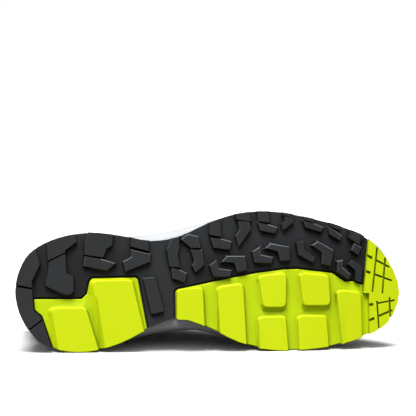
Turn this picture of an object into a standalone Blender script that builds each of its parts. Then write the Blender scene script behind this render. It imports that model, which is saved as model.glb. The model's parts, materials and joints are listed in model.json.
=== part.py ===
"""Right low safety trainer lying on its medial side: lugged rubber sole with bright inserts, foam midsole
and a hollow lace-up upper. Tables and curves are in millimetres of the standing shoe, with x from heel to
toe, y to the medial side and z up from the tread. A finished mesh is in metres, and one empty lays the shoe
down."""

import math
from collections import namedtuple

import bmesh
import bpy
from mathutils import Vector

MM = 0.001
GAP = 0.3

# The shoe on its side leans until the collar meets the floor
LEAN = math.radians(8.4)

# Rocker of the tread
TOE_SPRING = 16.0
SPRING_START = 200.0
HEEL_BEVEL = 4.0
BEVEL_END = 25.0
TIP = 306.0
TOE_STRIPS = 9
HEEL_STRIPS = 3

# Points of a closed outline from one section to the next
SOLE_SPANS = 3
UPPER_SPANS = 2
THROAT_SPANS = 10

# Layers of the sole, heights over the tread
LUG_DEPTH = 4.5
LUG_DRAFT = 1.2
POCKET_TOP = 7.0
PLATE_TOP = 8.0
PLATE_INSET = 0.2
PAD_FACE = 4.5
PAD_TOP = 6.7
PAD_JOINT = 0.9
PAD_INSET = 0.8
POD_DRAFT = 1.7
POD_RADIUS = 4.0
WAIST_PLATE_FACE = 0.8
WAIST_PLATE_RADIUS = 1.5
OVERLAP = 1.0
MITRE_LIMIT = 0.8
CUT_TOLERANCE = 1e-4

# Inward lean of the sole's side on the lateral and the medial side, as a share of the height
LATERAL_LEAN = 0.09
MEDIAL_LEAN = 0.165

# Midsole wall and the recess that takes the upper, steps inwards from the leaning side
WALL_INSET = 0.6
RIM_ROUND = 1.0
RIM_WIDTH = 2.6
RECESS_DEPTH = 4.0
FLARE_SHARE = 0.45
SHOULDER_SHARE = 0.82
ARCH_SWELL = 0.18
ARCH_FLARE = 6.0

# Toe bumper
TOE_WRAP = 3.2
WRAP_START = 256.0
WRAP_FULL = 280.0
BUMPER_WALL = 2.2
WRAP_STEP = 0.15
BUMPER_TOP = 0.18
BUMPER_LOW = 0.1
BUMPER_END = 266.0
WRAP_JOINT = 286.0
GROOVE_WIDTH = 1.4
GROOVE_DEPTH = 3.0
NOTCH_WIDTH = 2.2
NOTCH_START = 10.0
NOTCH_END = 3.4

# Upper, insole, tongue and lace
FEATHER_STEP = 1.1
WALL = 2.5
EDGE_ROLL = 1.0
PADDING_START = 0.5
PADDING_SPAN = 0.55
PROFILE_STEPS = 11
FINE_STEPS = 100
INSOLE_STEP = 4.4
INSOLE_THICK = 4.0
TONGUE_THICK = 4.5
TONGUE_WING = 9.0
TONGUE_CLEAR = 1.8
TONGUE_CROWN = 2.0
TONGUE_STEPS = 8
LACE_RADIUS = 2.0
LACE_ROWS = 6
EYELET_INSET = 8.0
LACE_LIFT = 3.8

# Overlays of the upper: height over the wall, depth of their root in it, share of a profile where they begin
OVERLAY = 0.6
OVERLAY_ROOT = 1.0
OVERLAY_FOOT = 0.08
OVERLAY_HEAD = 0.85
OVERLAY_ROWS = 8
BUMPER_ROOM = 10.0
BUMPER_CLEAR = 0.03
TOE_CAP = 236.0
TOE_CAP_SWEEP = 0.0045
TOE_CAP_MIDDLE = -6.0
TOE_CAP_STEPS = 8
COUNTER = 60.0
COUNTER_LEVEL = 35.0
COUNTER_SLOPE = 0.35
COUNTER_TOP = 76.0
EYESTAY = 16.0
EYESTAY_EDGE = 0.8
EYESTAY_ROWS = 2

# One row for each section along the sole: half widths of the tread and of the foot bed, height of the rim
Section = namedtuple("Section", "x tread_lateral tread_medial foot_lateral foot_medial rim")
SOLE = [Section(*row) for row in (
    (0.0, 0.0, 0.0, 0.0, 0.0, 35.5),
    (3.0, 16.0, 16.0, 16.0, 16.0, 35.3),
    (10.0, 28.2, 29.4, 28.2, 29.4, 35.0),
    (22.0, 36.6, 41.0, 36.6, 41.0, 34.5),
    (38.0, 42.4, 46.0, 42.4, 46.0, 34.0),
    (56.0, 45.0, 46.5, 45.0, 46.5, 33.4),
    (80.0, 43.0, 40.4, 45.0, 43.6, 32.4),
    (104.0, 38.9, 28.8, 46.2, 37.8, 31.0),
    (125.0, 41.9, 22.0, 50.2, 34.2, 29.2),
    (148.0, 52.4, 28.4, 56.4, 34.4, 26.8),
    (172.0, 60.3, 39.8, 60.8, 41.6, 24.6),
    (198.0, 62.3, 46.3, 62.3, 46.3, 23.2),
    (228.0, 57.7, 46.0, 57.7, 46.0, 23.0),
    (256.0, 50.6, 42.0, 50.6, 42.0, 24.4),
    (278.0, 41.6, 34.8, 41.6, 34.8, 26.8),
    (294.0, 26.0, 25.8, 26.0, 25.8, 29.2),
    (305.0, -2.0, 2.0, -2.0, 2.0, 30.5),
)]

# The upper over the same sections: top line, handles of the profile at the feather and the top line, padding
Profile = namedtuple("Profile", "top_x middle half top_z rise belly reach lift pad")
UPPER = [Profile(*row) for row in (
    (9.0, 0.0, 0.0, 104.0, 26.0, 5.0, -1.0, -26.0, 4.5),
    (10.5, 0.0, 9.0, 103.0, 26.0, 4.5, -0.5, -26.0, 4.5),
    (15.0, 0.0, 18.0, 100.0, 25.0, 3.0, 0.0, -25.0, 4.5),
    (26.0, 0.0, 27.5, 94.0, 24.0, 1.0, 1.0, -24.0, 4.5),
    (42.0, 0.0, 32.5, 88.5, 23.0, -0.5, 1.5, -22.0, 4.5),
    (62.0, 0.0, 34.0, 85.0, 22.0, -1.0, 2.0, -20.0, 4.5),
    (86.0, -0.5, 30.5, 90.0, 23.0, 0.0, 4.0, -19.0, 4.0),
    (106.0, -1.0, 23.0, 103.0, 25.0, 0.0, 8.0, -18.0, 2.5),
    (120.0, -1.5, 17.5, 112.0, 26.0, 0.0, 12.0, -14.0, 0.6),
    (142.0, -2.5, 16.0, 102.0, 26.0, 0.5, 15.0, -8.0, 0.0),
    (164.0, -3.5, 15.0, 91.5, 25.0, 1.0, 17.0, -3.0, 0.0),
    (184.0, -4.5, 13.5, 82.0, 25.0, 1.0, 20.0, 0.0, 0.0),
    (198.0, -5.0, 10.0, 75.5, 26.0, 1.0, 24.0, 0.0, 0.0),
    (203.5, -5.0, 6.5, 73.0, 27.0, 1.5, 36.0, -2.0, 0.0),
    (205.5, -5.0, 3.8, 72.2, 28.0, 2.0, 48.0, -4.0, 0.0),
    (206.3, -5.0, 1.8, 72.0, 28.0, 2.5, 53.0, -4.0, 0.0),
    (206.6, -5.0, 0.0, 72.0, 28.0, 3.0, 55.0, -4.0, 0.0),
)]

# Stations in this table where the tongue, the lace and the eyestay begin and end
TONGUE_STATIONS = (12.4, 8.3)
LACE_STATIONS = (11.4, 8.3)
EYESTAY_STATION = 7.5

# End of the tongue above the top eyelets: way along the throat, lift, share of the width that is left
TongueEnd = namedtuple("TongueEnd", "reach curl width")
TONGUE_END = [TongueEnd(*row) for row in ((11.0, 2.0, 0.8), (20.0, 6.0, 0.76), (25.0, 8.5, 0.6))]

# Outlines of the repeated lugs on a unit square, x to the toe and y to the medial side
LUG_SHAPES = {
    "elbow": ((-0.2, -0.5), (-0.1, 0.0), (0.5, 0.13), (0.46, 0.5), (-0.3, 0.5), (-0.5, -0.2)),
    "hook": ((-0.3, -0.5), (0.43, -0.5), (0.5, 0.37), (0.13, 0.5), (0.0, -0.08), (-0.5, -0.14)),
    "foot": ((-0.5, -0.5), (0.0, -0.42), (0.5, -0.18), (0.4, 0.5), (-0.35, 0.34)),
    "spur": ((-0.32, -0.5), (0.42, -0.48), (0.5, -0.15), (-0.3, 0.5), (-0.5, 0.1), (-0.23, -0.18)),
    "block": ((-0.5, -0.5), (0.4, -0.5), (0.5, 0.5), (-0.4, 0.44)),
}
Lug = namedtuple("Lug", "shape x y along across turn lean")
LUGS = [Lug(*row) for row in (
    ("elbow", 158.2, -17.4, 16.8, 12.2, 0, 0.0),
    ("elbow", 191.7, -28.0, 16.8, 12.3, 2, -2.0),
    ("elbow", 226.0, -31.5, 17.4, 11.0, 27, 3.3),
    ("elbow", 257.3, -17.7, 13.9, 10.0, 31, 2.5),
    ("hook", 169.2, -20.9, 19.3, 12.2, 0, 0.0),
    ("hook", 203.6, -29.9, 20.0, 11.8, 10, 1.2),
    ("hook", 239.2, -29.2, 19.4, 13.6, 28, 2.6),
    ("hook", 266.8, -15.2, 14.1, 12.6, 32, 4.4),
    ("foot", 62.8, -21.2, 25.0, 9.0, 6, -5.0),
    ("foot", 125.7, -12.4, 12.2, 9.8, 7, 0.0),
    ("foot", 158.9, -36.6, 16.1, 9.2, 0, 0.0),
    ("foot", 195.7, -48.9, 15.3, 7.0, 5, 0.0),
    ("foot", 232.4, -50.3, 16.8, 5.9, 11, 0.6),
    ("foot", 250.2, -44.6, 12.1, 5.9, 24, 1.5),
    ("spur", 92.8, -22.3, 20.0, 17.4, 12, -1.2),
    ("spur", 176.3, -44.6, 11.7, 19.3, 0, 0.0),
    ("spur", 211.4, -52.5, 9.0, 10.8, 7, 0.0),
    ("block", 95.3, -38.0, 15.5, 11.0, 12, 0.5),
    ("block", 154.0, -51.0, 9.5, 17.0, 4, 0.5),
    ("block", 175.5, -60.0, 12.5, 10.5, 3, 2.0),
    ("block", 192.2, -59.5, 9.5, 12.0, 2, 0.5),
    ("block", 211.9, -61.0, 8.8, 5.5, 12, 0.0),
    ("block", 228.8, -57.5, 9.5, 6.0, 15, 0.0),
    ("block", 250.3, -52.3, 10.2, 6.5, 19, 0.0),
    ("block", 269.0, -44.0, 12.5, 12.0, 29, -1.0),
    ("block", 267.9, -32.9, 7.4, 6.6, 31, 0.0),
)]

# Lugs of the heel and the waist that occur once
SINGLE_LUGS = (
    ((15.0, -34.0), (18.5, -20.5), (12.5, -8.0), (12.3, -3.0), (-4.0, -6.0), (-2.0, -30.0)),
    ((-4.0, -4.2), (12.5, -1.3), (13.9, 14.8), (19.8, 19.2), (19.3, 22.0), (6.0, 32.0), (-4.0, 20.0)),
    ((20.5, 22.8), (28.0, 44.0), (30.0, 52.0), (14.0, 46.0), (7.0, 32.8)),
    ((23.2, -41.0), (43.0, -46.0), (46.2, -37.7), (37.9, -31.5), (37.7, -29.7), (25.0, -23.5)),
    ((25.5, -22.4), (37.9, -28.6), (38.8, -13.7), (44.2, -11.2), (44.2, 0.1), (41.4, 2.3),
     (37.3, 2.1), (23.5, -4.0), (22.8, -6.6), (24.8, -13.2)),
    ((59.3, -48.0), (75.2, -48.0), (73.7, -35.1), (69.6, -32.8), (67.0, -26.1), (52.6, -28.1),
     (52.9, -38.4)),
    ((122.5, -44.0), (125.9, -44.0), (125.8, -32.9), (124.6, -28.2), (126.1, -18.3), (118.8, -18.9),
     (116.4, -32.3)),
    ((127.5, -39.8), (132.7, -43.9), (140.8, -42.3), (142.3, -33.3), (135.7, -33.2)),
    ((135.1, -32.2), (143.4, -31.7), (145.4, -20.1), (138.7, -14.5), (136.2, -19.5), (138.2, -23.1),
     (137.2, -26.1)),
)
WAIST_PLATE = ((98.2, -10.1), (107.3, -10.6), (114.1, 15.7), (104.7, 17.8))

# Outlines of the bright inserts; the sole's own edge trims them on the medial side
OUTSIDE = 60.0
HEEL_WINDOW = (
    (13.4, 5.3), (50.6, 5.2), (54.2, 1.7), (56.2, -8.1), (58.8, -10.7), (92.8, -11.3), (94.9, -9.6),
    (108.0, OUTSIDE), (34.0, OUTSIDE), (21.0, 22.0), (19.8, 19.2), (14.4, 14.8),
)
FOREFOOT_WINDOW = (
    (123.0, 20.0), (122.7, 0.3), (124.6, -2.0), (146.0, -6.4), (160.0, -9.5), (188.0, -14.7), (209.5, -17.5),
    (220.0, -17.8), (248.7, -14.7), (259.3, -7.9), (265.5, -8.4), (275.2, -5.1), (274.5, 1.6),
    (278.9, 1.6), (278.9, OUTSIDE), (124.8, OUTSIDE),
)
TOE_WINDOW = ((279.2, -46.0), (274.2, 1.9), (278.6, 1.9), (278.6, OUTSIDE), (330.0, OUTSIDE), (330.0, -46.0))

# Pods of the inserts: lateral edge and its rise to the toe, medial edge, ends of the rear and the front
# edge, and how much further the rear and the medial side slope out
Pod = namedtuple(
    "Pod", "lateral slope medial rear_lateral front_lateral rear_medial front_medial ramp skirt")
HEEL_PODS = [Pod(*row) for row in (
    (12.8, 0.0, 52.0, 27.6, 53.7, 34.5, 65.6, 3.4, 0.0),
    (-8.1, -0.5, 52.0, 58.8, 89.2, 70.5, 103.6, 4.4, 0.0),
)]
FOREFOOT_PODS = [Pod(*row) for row in (
    (-1.3, -1.5, 40.0, 124.5, 144.4, 124.5, 146.3, 0.0, 0.0),
    (-2.8, -3.0, 50.0, 156.0, 176.0, 159.0, 179.0, 0.4, 0.0),
    (-11.3, -2.8, 12.6, 188.4, 210.4, 192.0, 209.8, 0.3, 2.8),
    (-14.2, 2.4, 11.4, 220.6, 244.8, 223.9, 246.0, 0.3, 2.8),
    (20.4, -0.6, 52.0, 188.2, 209.6, 189.1, 212.0, 0.3, 0.0),
    (19.8, -0.4, 52.0, 219.4, 242.6, 220.9, 244.9, 0.3, 0.0),
    (-0.3, 1.6, 50.0, 251.4, 271.6, 256.5, 272.9, 0.3, 0.0),
)]

# Grooves across the toe bumper, and those that have a notch in the rear edge before them
GROOVES = (
    ((285.9, -34.5), (281.4, 1.1)), ((292.8, -26.1), (290.1, 2.2)),
    ((285.2, 8.0), (286.7, 30.3)), ((296.3, 5.1), (296.7, 23.0)),
    ((284.6, -24.3), (296.3, -18.6)), ((283.1, -13.0), (298.5, -7.9)),
    ((285.3, 10.1), (300.7, 7.5)), ((286.0, 20.5), (298.8, 15.5)),
)
NOTCHED = GROOVES[4:]

COLOURS = {
    "outsole": (0.034, 0.036, 0.038), "heel_pad": (0.66, 0.80, 0.010), "forefoot_pad": (0.66, 0.80, 0.010),
    "toe_bumper": (0.66, 0.80, 0.010), "midsole": (0.80, 0.81, 0.82), "insole": (0.05, 0.05, 0.05),
    "upper": (0.02, 0.02, 0.02), "tongue": (0.02, 0.02, 0.02), "lace": (0.02, 0.02, 0.02),
}
RUBBER_ROUGHNESS = 0.6


def blend(a, b, share):
    return a + (b - a) * share


def smooth_step(value):
    value = min(max(value, 0.0), 1.0)
    return value * value * (3.0 - 2.0 * value)


def closed_curve(points, per_span):
    """Smooth closed curve through rows of numbers, the first two of which are its place in plan."""
    count = len(points)
    spans = [math.dist(points[i][:2], points[(i + 1) % count][:2]) for i in range(count)]
    slopes = []
    for i in range(count):
        before, after = spans[i - 1], spans[i]
        neighbours = zip(points[i - 1], points[i], points[(i + 1) % count])
        slopes.append([((p - a) / before * after + (b - p) / after * before) / (before + after)
                       for a, p, b in neighbours])
    curve = []
    for i in range(count):
        j = (i + 1) % count
        for step in range(per_span):
            t = step / per_span
            start = (1.0 + 2.0 * t) * (1.0 - t) ** 2
            leave = t * (1.0 - t) ** 2 * spans[i]
            arrive = t * t * (t - 1.0) * spans[i]
            curve.append([start * a + (1.0 - start) * b + leave * m + arrive * n
                          for a, b, m, n in zip(points[i], points[j], slopes[i], slopes[j])])
    return curve


def offset(loop, distance):
    """Closed plan loop moved outwards by a distance, or by one distance for each point."""
    moved = []
    for i, point in enumerate(loop):
        along = loop[(i + 1) % len(loop)] - loop[i - 1]
        outward = Vector((along.y, -along.x)).normalized()
        step = distance[i] if isinstance(distance, list) else distance
        moved.append(point + outward * step)
    return moved


def mitred(corners, distance):
    """Polygon with each side moved outwards by a distance."""
    points = [Vector(corner) for corner in corners]
    area = sum(a.x * b.y - b.x * a.y for a, b in zip(points, points[1:] + points[:1]))
    turn = math.copysign(1.0, area)
    moved = []
    for i, point in enumerate(points):
        before = (point - points[i - 1]).normalized()
        after = (points[(i + 1) % len(points)] - point).normalized()
        normal = Vector((before.y + after.y, -before.x - after.x)) * turn
        moved.append(point + normal * (2.0 * distance / max(normal.length_squared, MITRE_LIMIT)))
    return moved


def rounded(corners, radius, steps=3):
    """Polygon with each corner replaced by an arc."""
    points = []
    for i, corner in enumerate(corners):
        to_last = (corners[i - 1] - corner).normalized()
        to_next = (corners[(i + 1) % len(corners)] - corner).normalized()
        half = to_last.angle(to_next) / 2.0
        reach = radius / math.tan(half)
        for step in range(steps + 1):
            t = step / steps
            start, middle, end = corner + to_last * reach, corner, corner + to_next * reach
            points.append(start * (1.0 - t) ** 2 + middle * 2.0 * t * (1.0 - t) + end * t * t)
    return points


def tread_height(x):
    """Lift of the tread over its plane: bevelled heel, level waist, sprung toe."""
    if x < BEVEL_END:
        return HEEL_BEVEL * ((BEVEL_END - x) / BEVEL_END) ** 2
    return TOE_SPRING * (max(x - SPRING_START, 0.0) / (TIP - SPRING_START)) ** 2


STRIPS = [BEVEL_END * i / HEEL_STRIPS for i in range(HEEL_STRIPS + 1)]
STRIPS += [blend(SPRING_START, TIP, i / TOE_STRIPS) for i in range(TOE_STRIPS + 1)]


def rocker(x):
    """The same lift in straight steps from strip to strip, so that flat faces stay flat when bent."""
    for low, high in zip(STRIPS, STRIPS[1:]):
        if x <= high:
            return blend(tread_height(low), tread_height(high), (x - low) / (high - low))
    return tread_height(x)


# Samples around the shoe, from the heel along the lateral side to the toe and back along the medial side
Sample = namedtuple("Sample", "tread foot outward lean rim top rise belly reach lift pad")


def perimeter(per_span):
    rows = []
    for side, order in ((-1, range(len(SOLE) - 1)), (1, range(len(SOLE) - 1, 0, -1))):
        for i in order:
            sole, upper = SOLE[i], UPPER[i]
            tread_y = -sole.tread_lateral if side < 0 else sole.tread_medial
            foot_y = -sole.foot_lateral if side < 0 else sole.foot_medial
            rows.append((sole.x, tread_y, foot_y, sole.rim, upper.top_x, upper.middle + side * upper.half,
                         upper.top_z, upper.rise, upper.belly, upper.reach, upper.lift, upper.pad))
    curve = closed_curve(rows, per_span)
    tread = [Vector(row[:2]) for row in curve]
    outer = [Vector((row[0], row[2])) for row in curve]
    wrap = [-TOE_WRAP * smooth_step((p.x - WRAP_START) / (WRAP_FULL - WRAP_START)) for p in outer]
    foot = offset(outer, wrap)
    outward = [ahead - here for ahead, here in zip(offset(foot, 1.0), foot)]
    leans = [blend(LATERAL_LEAN, MEDIAL_LEAN, (way.y + 1.0) / 2.0) for way in outward]
    return [Sample(tread[i], foot[i], outward[i], leans[i], row[3], Vector(row[4:7]), *row[7:])
            for i, row in enumerate(curve)]


def wall_point(sample, z, step=0.0):
    """Point of the midsole's leaning side at a height, or a step further in."""
    plan = sample.foot - sample.outward * (WALL_INSET + sample.lean * z + step)
    return Vector((plan.x, plan.y, z))


def tapered(name, samples, inset, low, high):
    """Solid inside the edge of the tread, whose side leans inwards with the height."""
    bm = bmesh.new()
    add_prism(bm, *([Vector((*(s.tread - s.outward * (inset + s.lean * max(z, 0.0))), z)) for s in samples]
                    for z in (low, high)))
    return new_object(name, bm)


def profile_point(sample, t):
    """Point of the upper's outer face at a share of the cubic curve from the feather to the top line."""
    foot = wall_point(sample, sample.rim, RIM_ROUND + RIM_WIDTH + FEATHER_STEP)
    foot.z += GAP - RECESS_DEPTH
    away = (foot - sample.top) * Vector((1.0, 1.0, 0.0))
    low = foot + sample.outward.to_3d() * sample.belly + Vector((0.0, 0.0, sample.rise))
    high = sample.top + away.normalized() * sample.reach + Vector((0.0, 0.0, sample.lift))
    s = 1.0 - t
    return foot * s ** 3 + low * 3.0 * s * s * t + high * 3.0 * s * t * t + sample.top * t ** 3


def skin_point(samples, i, t, depth):
    """The same point moved into the wall by a depth, or out of it by a negative one."""
    step = 1.0 / PROFILE_STEPS
    around = profile_point(samples[(i + 1) % len(samples)], t) - profile_point(samples[i - 1], t)
    up = profile_point(samples[i], min(t + step, 1.0)) - profile_point(samples[i], max(t - step, 0.0))
    return profile_point(samples[i], t) + up.cross(around).normalized() * depth


def share_from_top(sample, distance):
    """Share of a profile at a distance down the outer face from the top line."""
    point, way = sample.top, 0.0
    for step in range(FINE_STEPS - 1, -1, -1):
        below = profile_point(sample, step / FINE_STEPS)
        way += (point - below).length
        if way > distance:
            return step / FINE_STEPS
        point = below
    return 0.0


def bumper_top(sample):
    """Share of a profile that the toe bumper covers."""
    rise = smooth_step((sample.tread.x - BUMPER_END) / (TIP - BUMPER_END))
    return blend(BUMPER_LOW, BUMPER_TOP, rise)


def new_object(name, bm):
    mesh = bpy.data.meshes.new(name)
    bmesh.ops.recalc_face_normals(bm, faces=bm.faces)
    bm.to_mesh(mesh)
    bm.free()
    piece = bpy.data.objects.new(name, mesh)
    bpy.context.scene.collection.objects.link(piece)
    return piece


def add_shell(bm, columns, closed):
    """Skins closed columns of points and joins the last one to the first, or caps both ends."""
    loops = [[bm.verts.new(point) for point in column] for column in columns]
    if closed:
        loops.append(loops[0])
    else:
        bm.faces.new(loops[0])
        bm.faces.new(loops[-1])
    for first, second in zip(loops, loops[1:]):
        for k in range(len(first)):
            n = (k + 1) % len(first)
            bm.faces.new((first[k], first[n], second[n], second[k]))


def add_loft(bm, rings):
    """Skins rings of equal length and closes both ends with strips across, from side to side."""
    count = len(rings[0])
    loops = [[bm.verts.new(point) for point in ring] for ring in rings]
    for lower, upper in zip(loops, loops[1:]):
        for i in range(count):
            j = (i + 1) % count
            bm.faces.new((lower[i], lower[j], upper[j], upper[i]))
    for loop in (loops[0], loops[-1]):
        for i in range(count // 2):
            across = [loop[i], loop[i + 1], loop[count - i - 1], loop[(count - i) % count]]
            bm.faces.new(list(dict.fromkeys(across)))


def add_prism(bm, lower, upper):
    """Closed solid between two polygons with the same number of corners."""
    low = [bm.verts.new(point) for point in lower]
    high = [bm.verts.new(point) for point in upper]
    bm.faces.new(low)
    bm.faces.new(high)
    for i in range(len(low)):
        j = (i + 1) % len(low)
        bm.faces.new((low[i], low[j], high[j], high[i]))


def at_height(plan, z):
    return [Vector((p[0], p[1], z)) for p in plan]


def prism(name, plan, low, high):
    bm = bmesh.new()
    add_prism(bm, at_height(plan, low), at_height(plan, high))
    return new_object(name, bm)


def combine(piece, other, operation):
    """Boolean of a piece with another one, which is used up."""
    step = piece.modifiers.new(operation, "BOOLEAN")
    step.operation = operation
    step.solver = "EXACT"
    step.use_self = True
    step.object = other
    state = bpy.context.evaluated_depsgraph_get()
    mesh = bpy.data.meshes.new_from_object(piece.evaluated_get(state))
    piece.modifiers.clear()
    piece.data = mesh
    bpy.data.objects.remove(other)


def bend(piece):
    """Cuts a flat piece of the sole across at each strip and lifts it along the rocker."""
    bm = bmesh.new()
    bm.from_mesh(piece.data)
    for x in STRIPS:
        everything = bm.verts[:] + bm.edges[:] + bm.faces[:]
        bmesh.ops.bisect_plane(bm, geom=everything, plane_co=(x, 0, 0), plane_no=(1, 0, 0),
                               dist=CUT_TOLERANCE)
    for vert in bm.verts:
        vert.co.z += rocker(vert.co.x)
    bm.to_mesh(piece.data)
    bm.free()


def lug_outline(lug):
    turn = math.radians(lug.turn)
    corners = []
    for u, v in LUG_SHAPES[lug.shape]:
        x = u * lug.along + v * lug.lean
        y = v * lug.across
        corners.append(Vector((lug.x + x * math.cos(turn) - y * math.sin(turn),
                               lug.y + x * math.sin(turn) + y * math.cos(turn))))
    return corners


def make_outsole(samples):
    """Black plate with pockets for the inserts, its lugs trimmed by the edge of the sole."""
    outsole = tapered("outsole", samples, PLATE_INSET, LUG_DEPTH, PLATE_TOP)
    for window in (HEEL_WINDOW, FOREFOOT_WINDOW):
        combine(outsole, prism("pocket", mitred(window, PAD_JOINT), 0.0, POCKET_TOP), "DIFFERENCE")
    combine(outsole, prism("toe", mitred(TOE_WINDOW, GAP), 0.0, PLATE_TOP + OVERLAP), "DIFFERENCE")
    bm = bmesh.new()
    outlines = [lug_outline(lug) for lug in LUGS]
    outlines += [list(map(Vector, corners)) for corners in SINGLE_LUGS]
    for outline in outlines:
        add_prism(bm, at_height(outline, 0.0), at_height(mitred(outline, LUG_DRAFT), LUG_DEPTH + OVERLAP))
    lugs = new_object("lugs", bm)
    combine(lugs, tapered("edge", samples, 0.0, 0.0, PLATE_TOP), "INTERSECT")
    for window in (HEEL_WINDOW, FOREFOOT_WINDOW, TOE_WINDOW):
        combine(lugs, prism("pocket", mitred(window, GAP), -OVERLAP, PLATE_TOP), "DIFFERENCE")
    combine(outsole, lugs, "UNION")
    bm = bmesh.new()
    face = rounded(list(map(Vector, WAIST_PLATE)), WAIST_PLATE_RADIUS)
    root = rounded(mitred(WAIST_PLATE, LUG_DRAFT), WAIST_PLATE_RADIUS + LUG_DRAFT)
    add_prism(bm, at_height(face, WAIST_PLATE_FACE), at_height(root, LUG_DEPTH + OVERLAP))
    combine(outsole, new_object("waist_plate", bm), "UNION")
    bend(outsole)
    return outsole


def pod_outline(pod):
    rise = pod.slope
    return [Vector((pod.rear_lateral, pod.lateral)), Vector((pod.front_lateral, pod.lateral + rise)),
            Vector((pod.front_medial, pod.medial)), Vector((pod.rear_medial, pod.medial))]


def make_pad(name, samples, window, pods):
    """Bright slab in its pocket with rounded pods down to the tread, trimmed by the edge of the sole."""
    outline = mitred(window, -PAD_INSET)
    pad = prism(name, outline, PAD_FACE, PAD_TOP)
    bm = bmesh.new()
    for pod in pods:
        face = rounded(pod_outline(pod), POD_RADIUS)
        sloped = pod._replace(rear_lateral=pod.rear_lateral - pod.ramp, medial=pod.medial + pod.skirt,
                              rear_medial=pod.rear_medial - pod.ramp)
        root = rounded(mitred(pod_outline(sloped), POD_DRAFT), POD_RADIUS + POD_DRAFT)
        add_prism(bm, at_height(face, 0.0), at_height(root, PAD_FACE + OVERLAP))
    combine(pad, new_object("pods", bm), "UNION")
    combine(pad, tapered("edge", samples, 0.0, 0.0, PLATE_TOP), "INTERSECT")
    combine(pad, prism("trim", outline, -OVERLAP, PLATE_TOP), "INTERSECT")
    bend(pad)
    return pad


def add_groove(bm, start, end, width, depth):
    along = (end - start).normalized()
    across = Vector((-along.y, along.x)) * width / 2.0
    corners = [start - across, end - across, end + across, start + across]
    add_prism(bm, at_height(corners, -OVERLAP), at_height(corners, depth))


def make_toe_bumper(samples):
    """Bright toe piece: grooved tread slab and a wall that wraps the midsole and the toe of the upper."""
    bumper = tapered("toe_bumper", samples, 0.0, 0.0, PLATE_TOP)
    combine(bumper, prism("toe", list(map(Vector, TOE_WINDOW)), -OVERLAP, PLATE_TOP + OVERLAP), "INTERSECT")
    cuts = [(Vector(start), Vector(end), GROOVE_WIDTH) for start, end in GROOVES]
    for start, end in NOTCHED:
        along = (Vector(end) - Vector(start)).normalized()
        cuts.append((Vector(start) - along * NOTCH_START, Vector(start) - along * NOTCH_END, NOTCH_WIDTH))
    for start, end, width in cuts:
        bm = bmesh.new()
        add_groove(bm, start, end, width, GROOVE_DEPTH)
        combine(bumper, new_object("groove", bm), "DIFFERENCE")
    bend(bumper)
    rings = []
    for sample in (sample for sample in samples if sample.tread.x > BUMPER_END):
        crest = profile_point(sample, bumper_top(sample))
        lift = tread_height(sample.tread.x)
        away = sample.outward.to_3d()
        low = lift + (LUG_DEPTH if sample.tread.x > WRAP_JOINT else PLATE_TOP + GAP)
        shoulder = blend(lift + PLATE_TOP, sample.rim, SHOULDER_SHARE)
        outer = [Vector((*(sample.tread - sample.outward * (WRAP_STEP + sample.lean * (z - lift))), z))
                 for z in (low, shoulder)]
        inner = [wall_point(sample, z, -WALL_INSET) + away * GAP for z in (shoulder, low)]
        over = wall_point(sample, sample.rim, RIM_ROUND - 2.0 * GAP) + Vector((0.0, 0.0, 2.0 * GAP))
        rings.append(outer + [crest + away * BUMPER_WALL, crest + away * 2.0 * GAP, over] + inner)
    bm = bmesh.new()
    add_shell(bm, rings, False)
    combine(bumper, new_object("wrap", bm), "UNION")
    return bumper


def make_midsole(samples):
    """Foam wedge: narrow at the tread, swelling out under the arch, with a rim around a shallow recess."""
    columns = []
    for sample in samples:
        base = PLATE_TOP + GAP + tread_height(sample.tread.x)
        low = wall_point(sample, base)
        tread = sample.tread - sample.outward * (PLATE_INSET + sample.lean * PLATE_TOP)
        if (tread - low.to_2d()).dot(sample.outward) < 0.0:
            low.xy = tread
        rim = sample.rim
        flare = wall_point(sample, blend(base, rim, FLARE_SHARE))
        overhang = (flare - low).to_2d().dot(sample.outward)
        swell = ARCH_SWELL * min(max(overhang / ARCH_FLARE, 0.0), 1.0)
        middle = Vector((*low.to_2d().lerp(flare.to_2d(), 0.5 + swell), blend(low.z, flare.z, 0.5 - swell)))
        ledge = wall_point(sample, rim, RIM_ROUND + RIM_WIDTH)
        columns.append([
            low, middle, flare,
            wall_point(sample, blend(base, rim, SHOULDER_SHARE)), wall_point(sample, rim, RIM_ROUND),
            ledge, ledge - Vector((0.0, 0.0, RECESS_DEPTH)),
        ])
    bm = bmesh.new()
    add_loft(bm, list(zip(*columns)))
    return new_object("midsole", bm)


def make_insole(samples):
    """Foot bed that lies in the recess inside the upper."""
    under = [wall_point(sample, sample.rim, RIM_ROUND + RIM_WIDTH + INSOLE_STEP) for sample in samples]
    under = [point + Vector((0.0, 0.0, GAP - RECESS_DEPTH)) for point in under]
    bm = bmesh.new()
    add_loft(bm, [under, [point + Vector((0.0, 0.0, INSOLE_THICK)) for point in under]])
    return new_object("insole", bm)


def padding(share):
    """Swell of the collar's padding along a profile, from half its height to the rolled edge."""
    return math.sin(math.pi * min(max((share - PADDING_START) / PADDING_SPAN, 0.0), 1.0))


def raised_skin(name, samples, ends, rows, closed):
    """Skin of the upper's own form over its wall and rooted in it, between two shares of each column."""
    columns = []
    for i, low, high in ends:
        shares = [blend(low, high, row / rows) for row in range(rows + 1)]
        outer = [skin_point(samples, i, t, -OVERLAY) for t in shares]
        columns.append(outer + [skin_point(samples, i, t, OVERLAY_ROOT) for t in reversed(shares)])
    bm = bmesh.new()
    add_shell(bm, columns, closed)
    return new_object(name, bm)


def overlay_foot(sample):
    """Share of a profile where an overlay begins, clear of the rim or of the toe bumper."""
    if sample.tread.x < BUMPER_END - BUMPER_ROOM:
        return OVERLAY_FOOT
    return bumper_top(sample) + BUMPER_CLEAR


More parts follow.
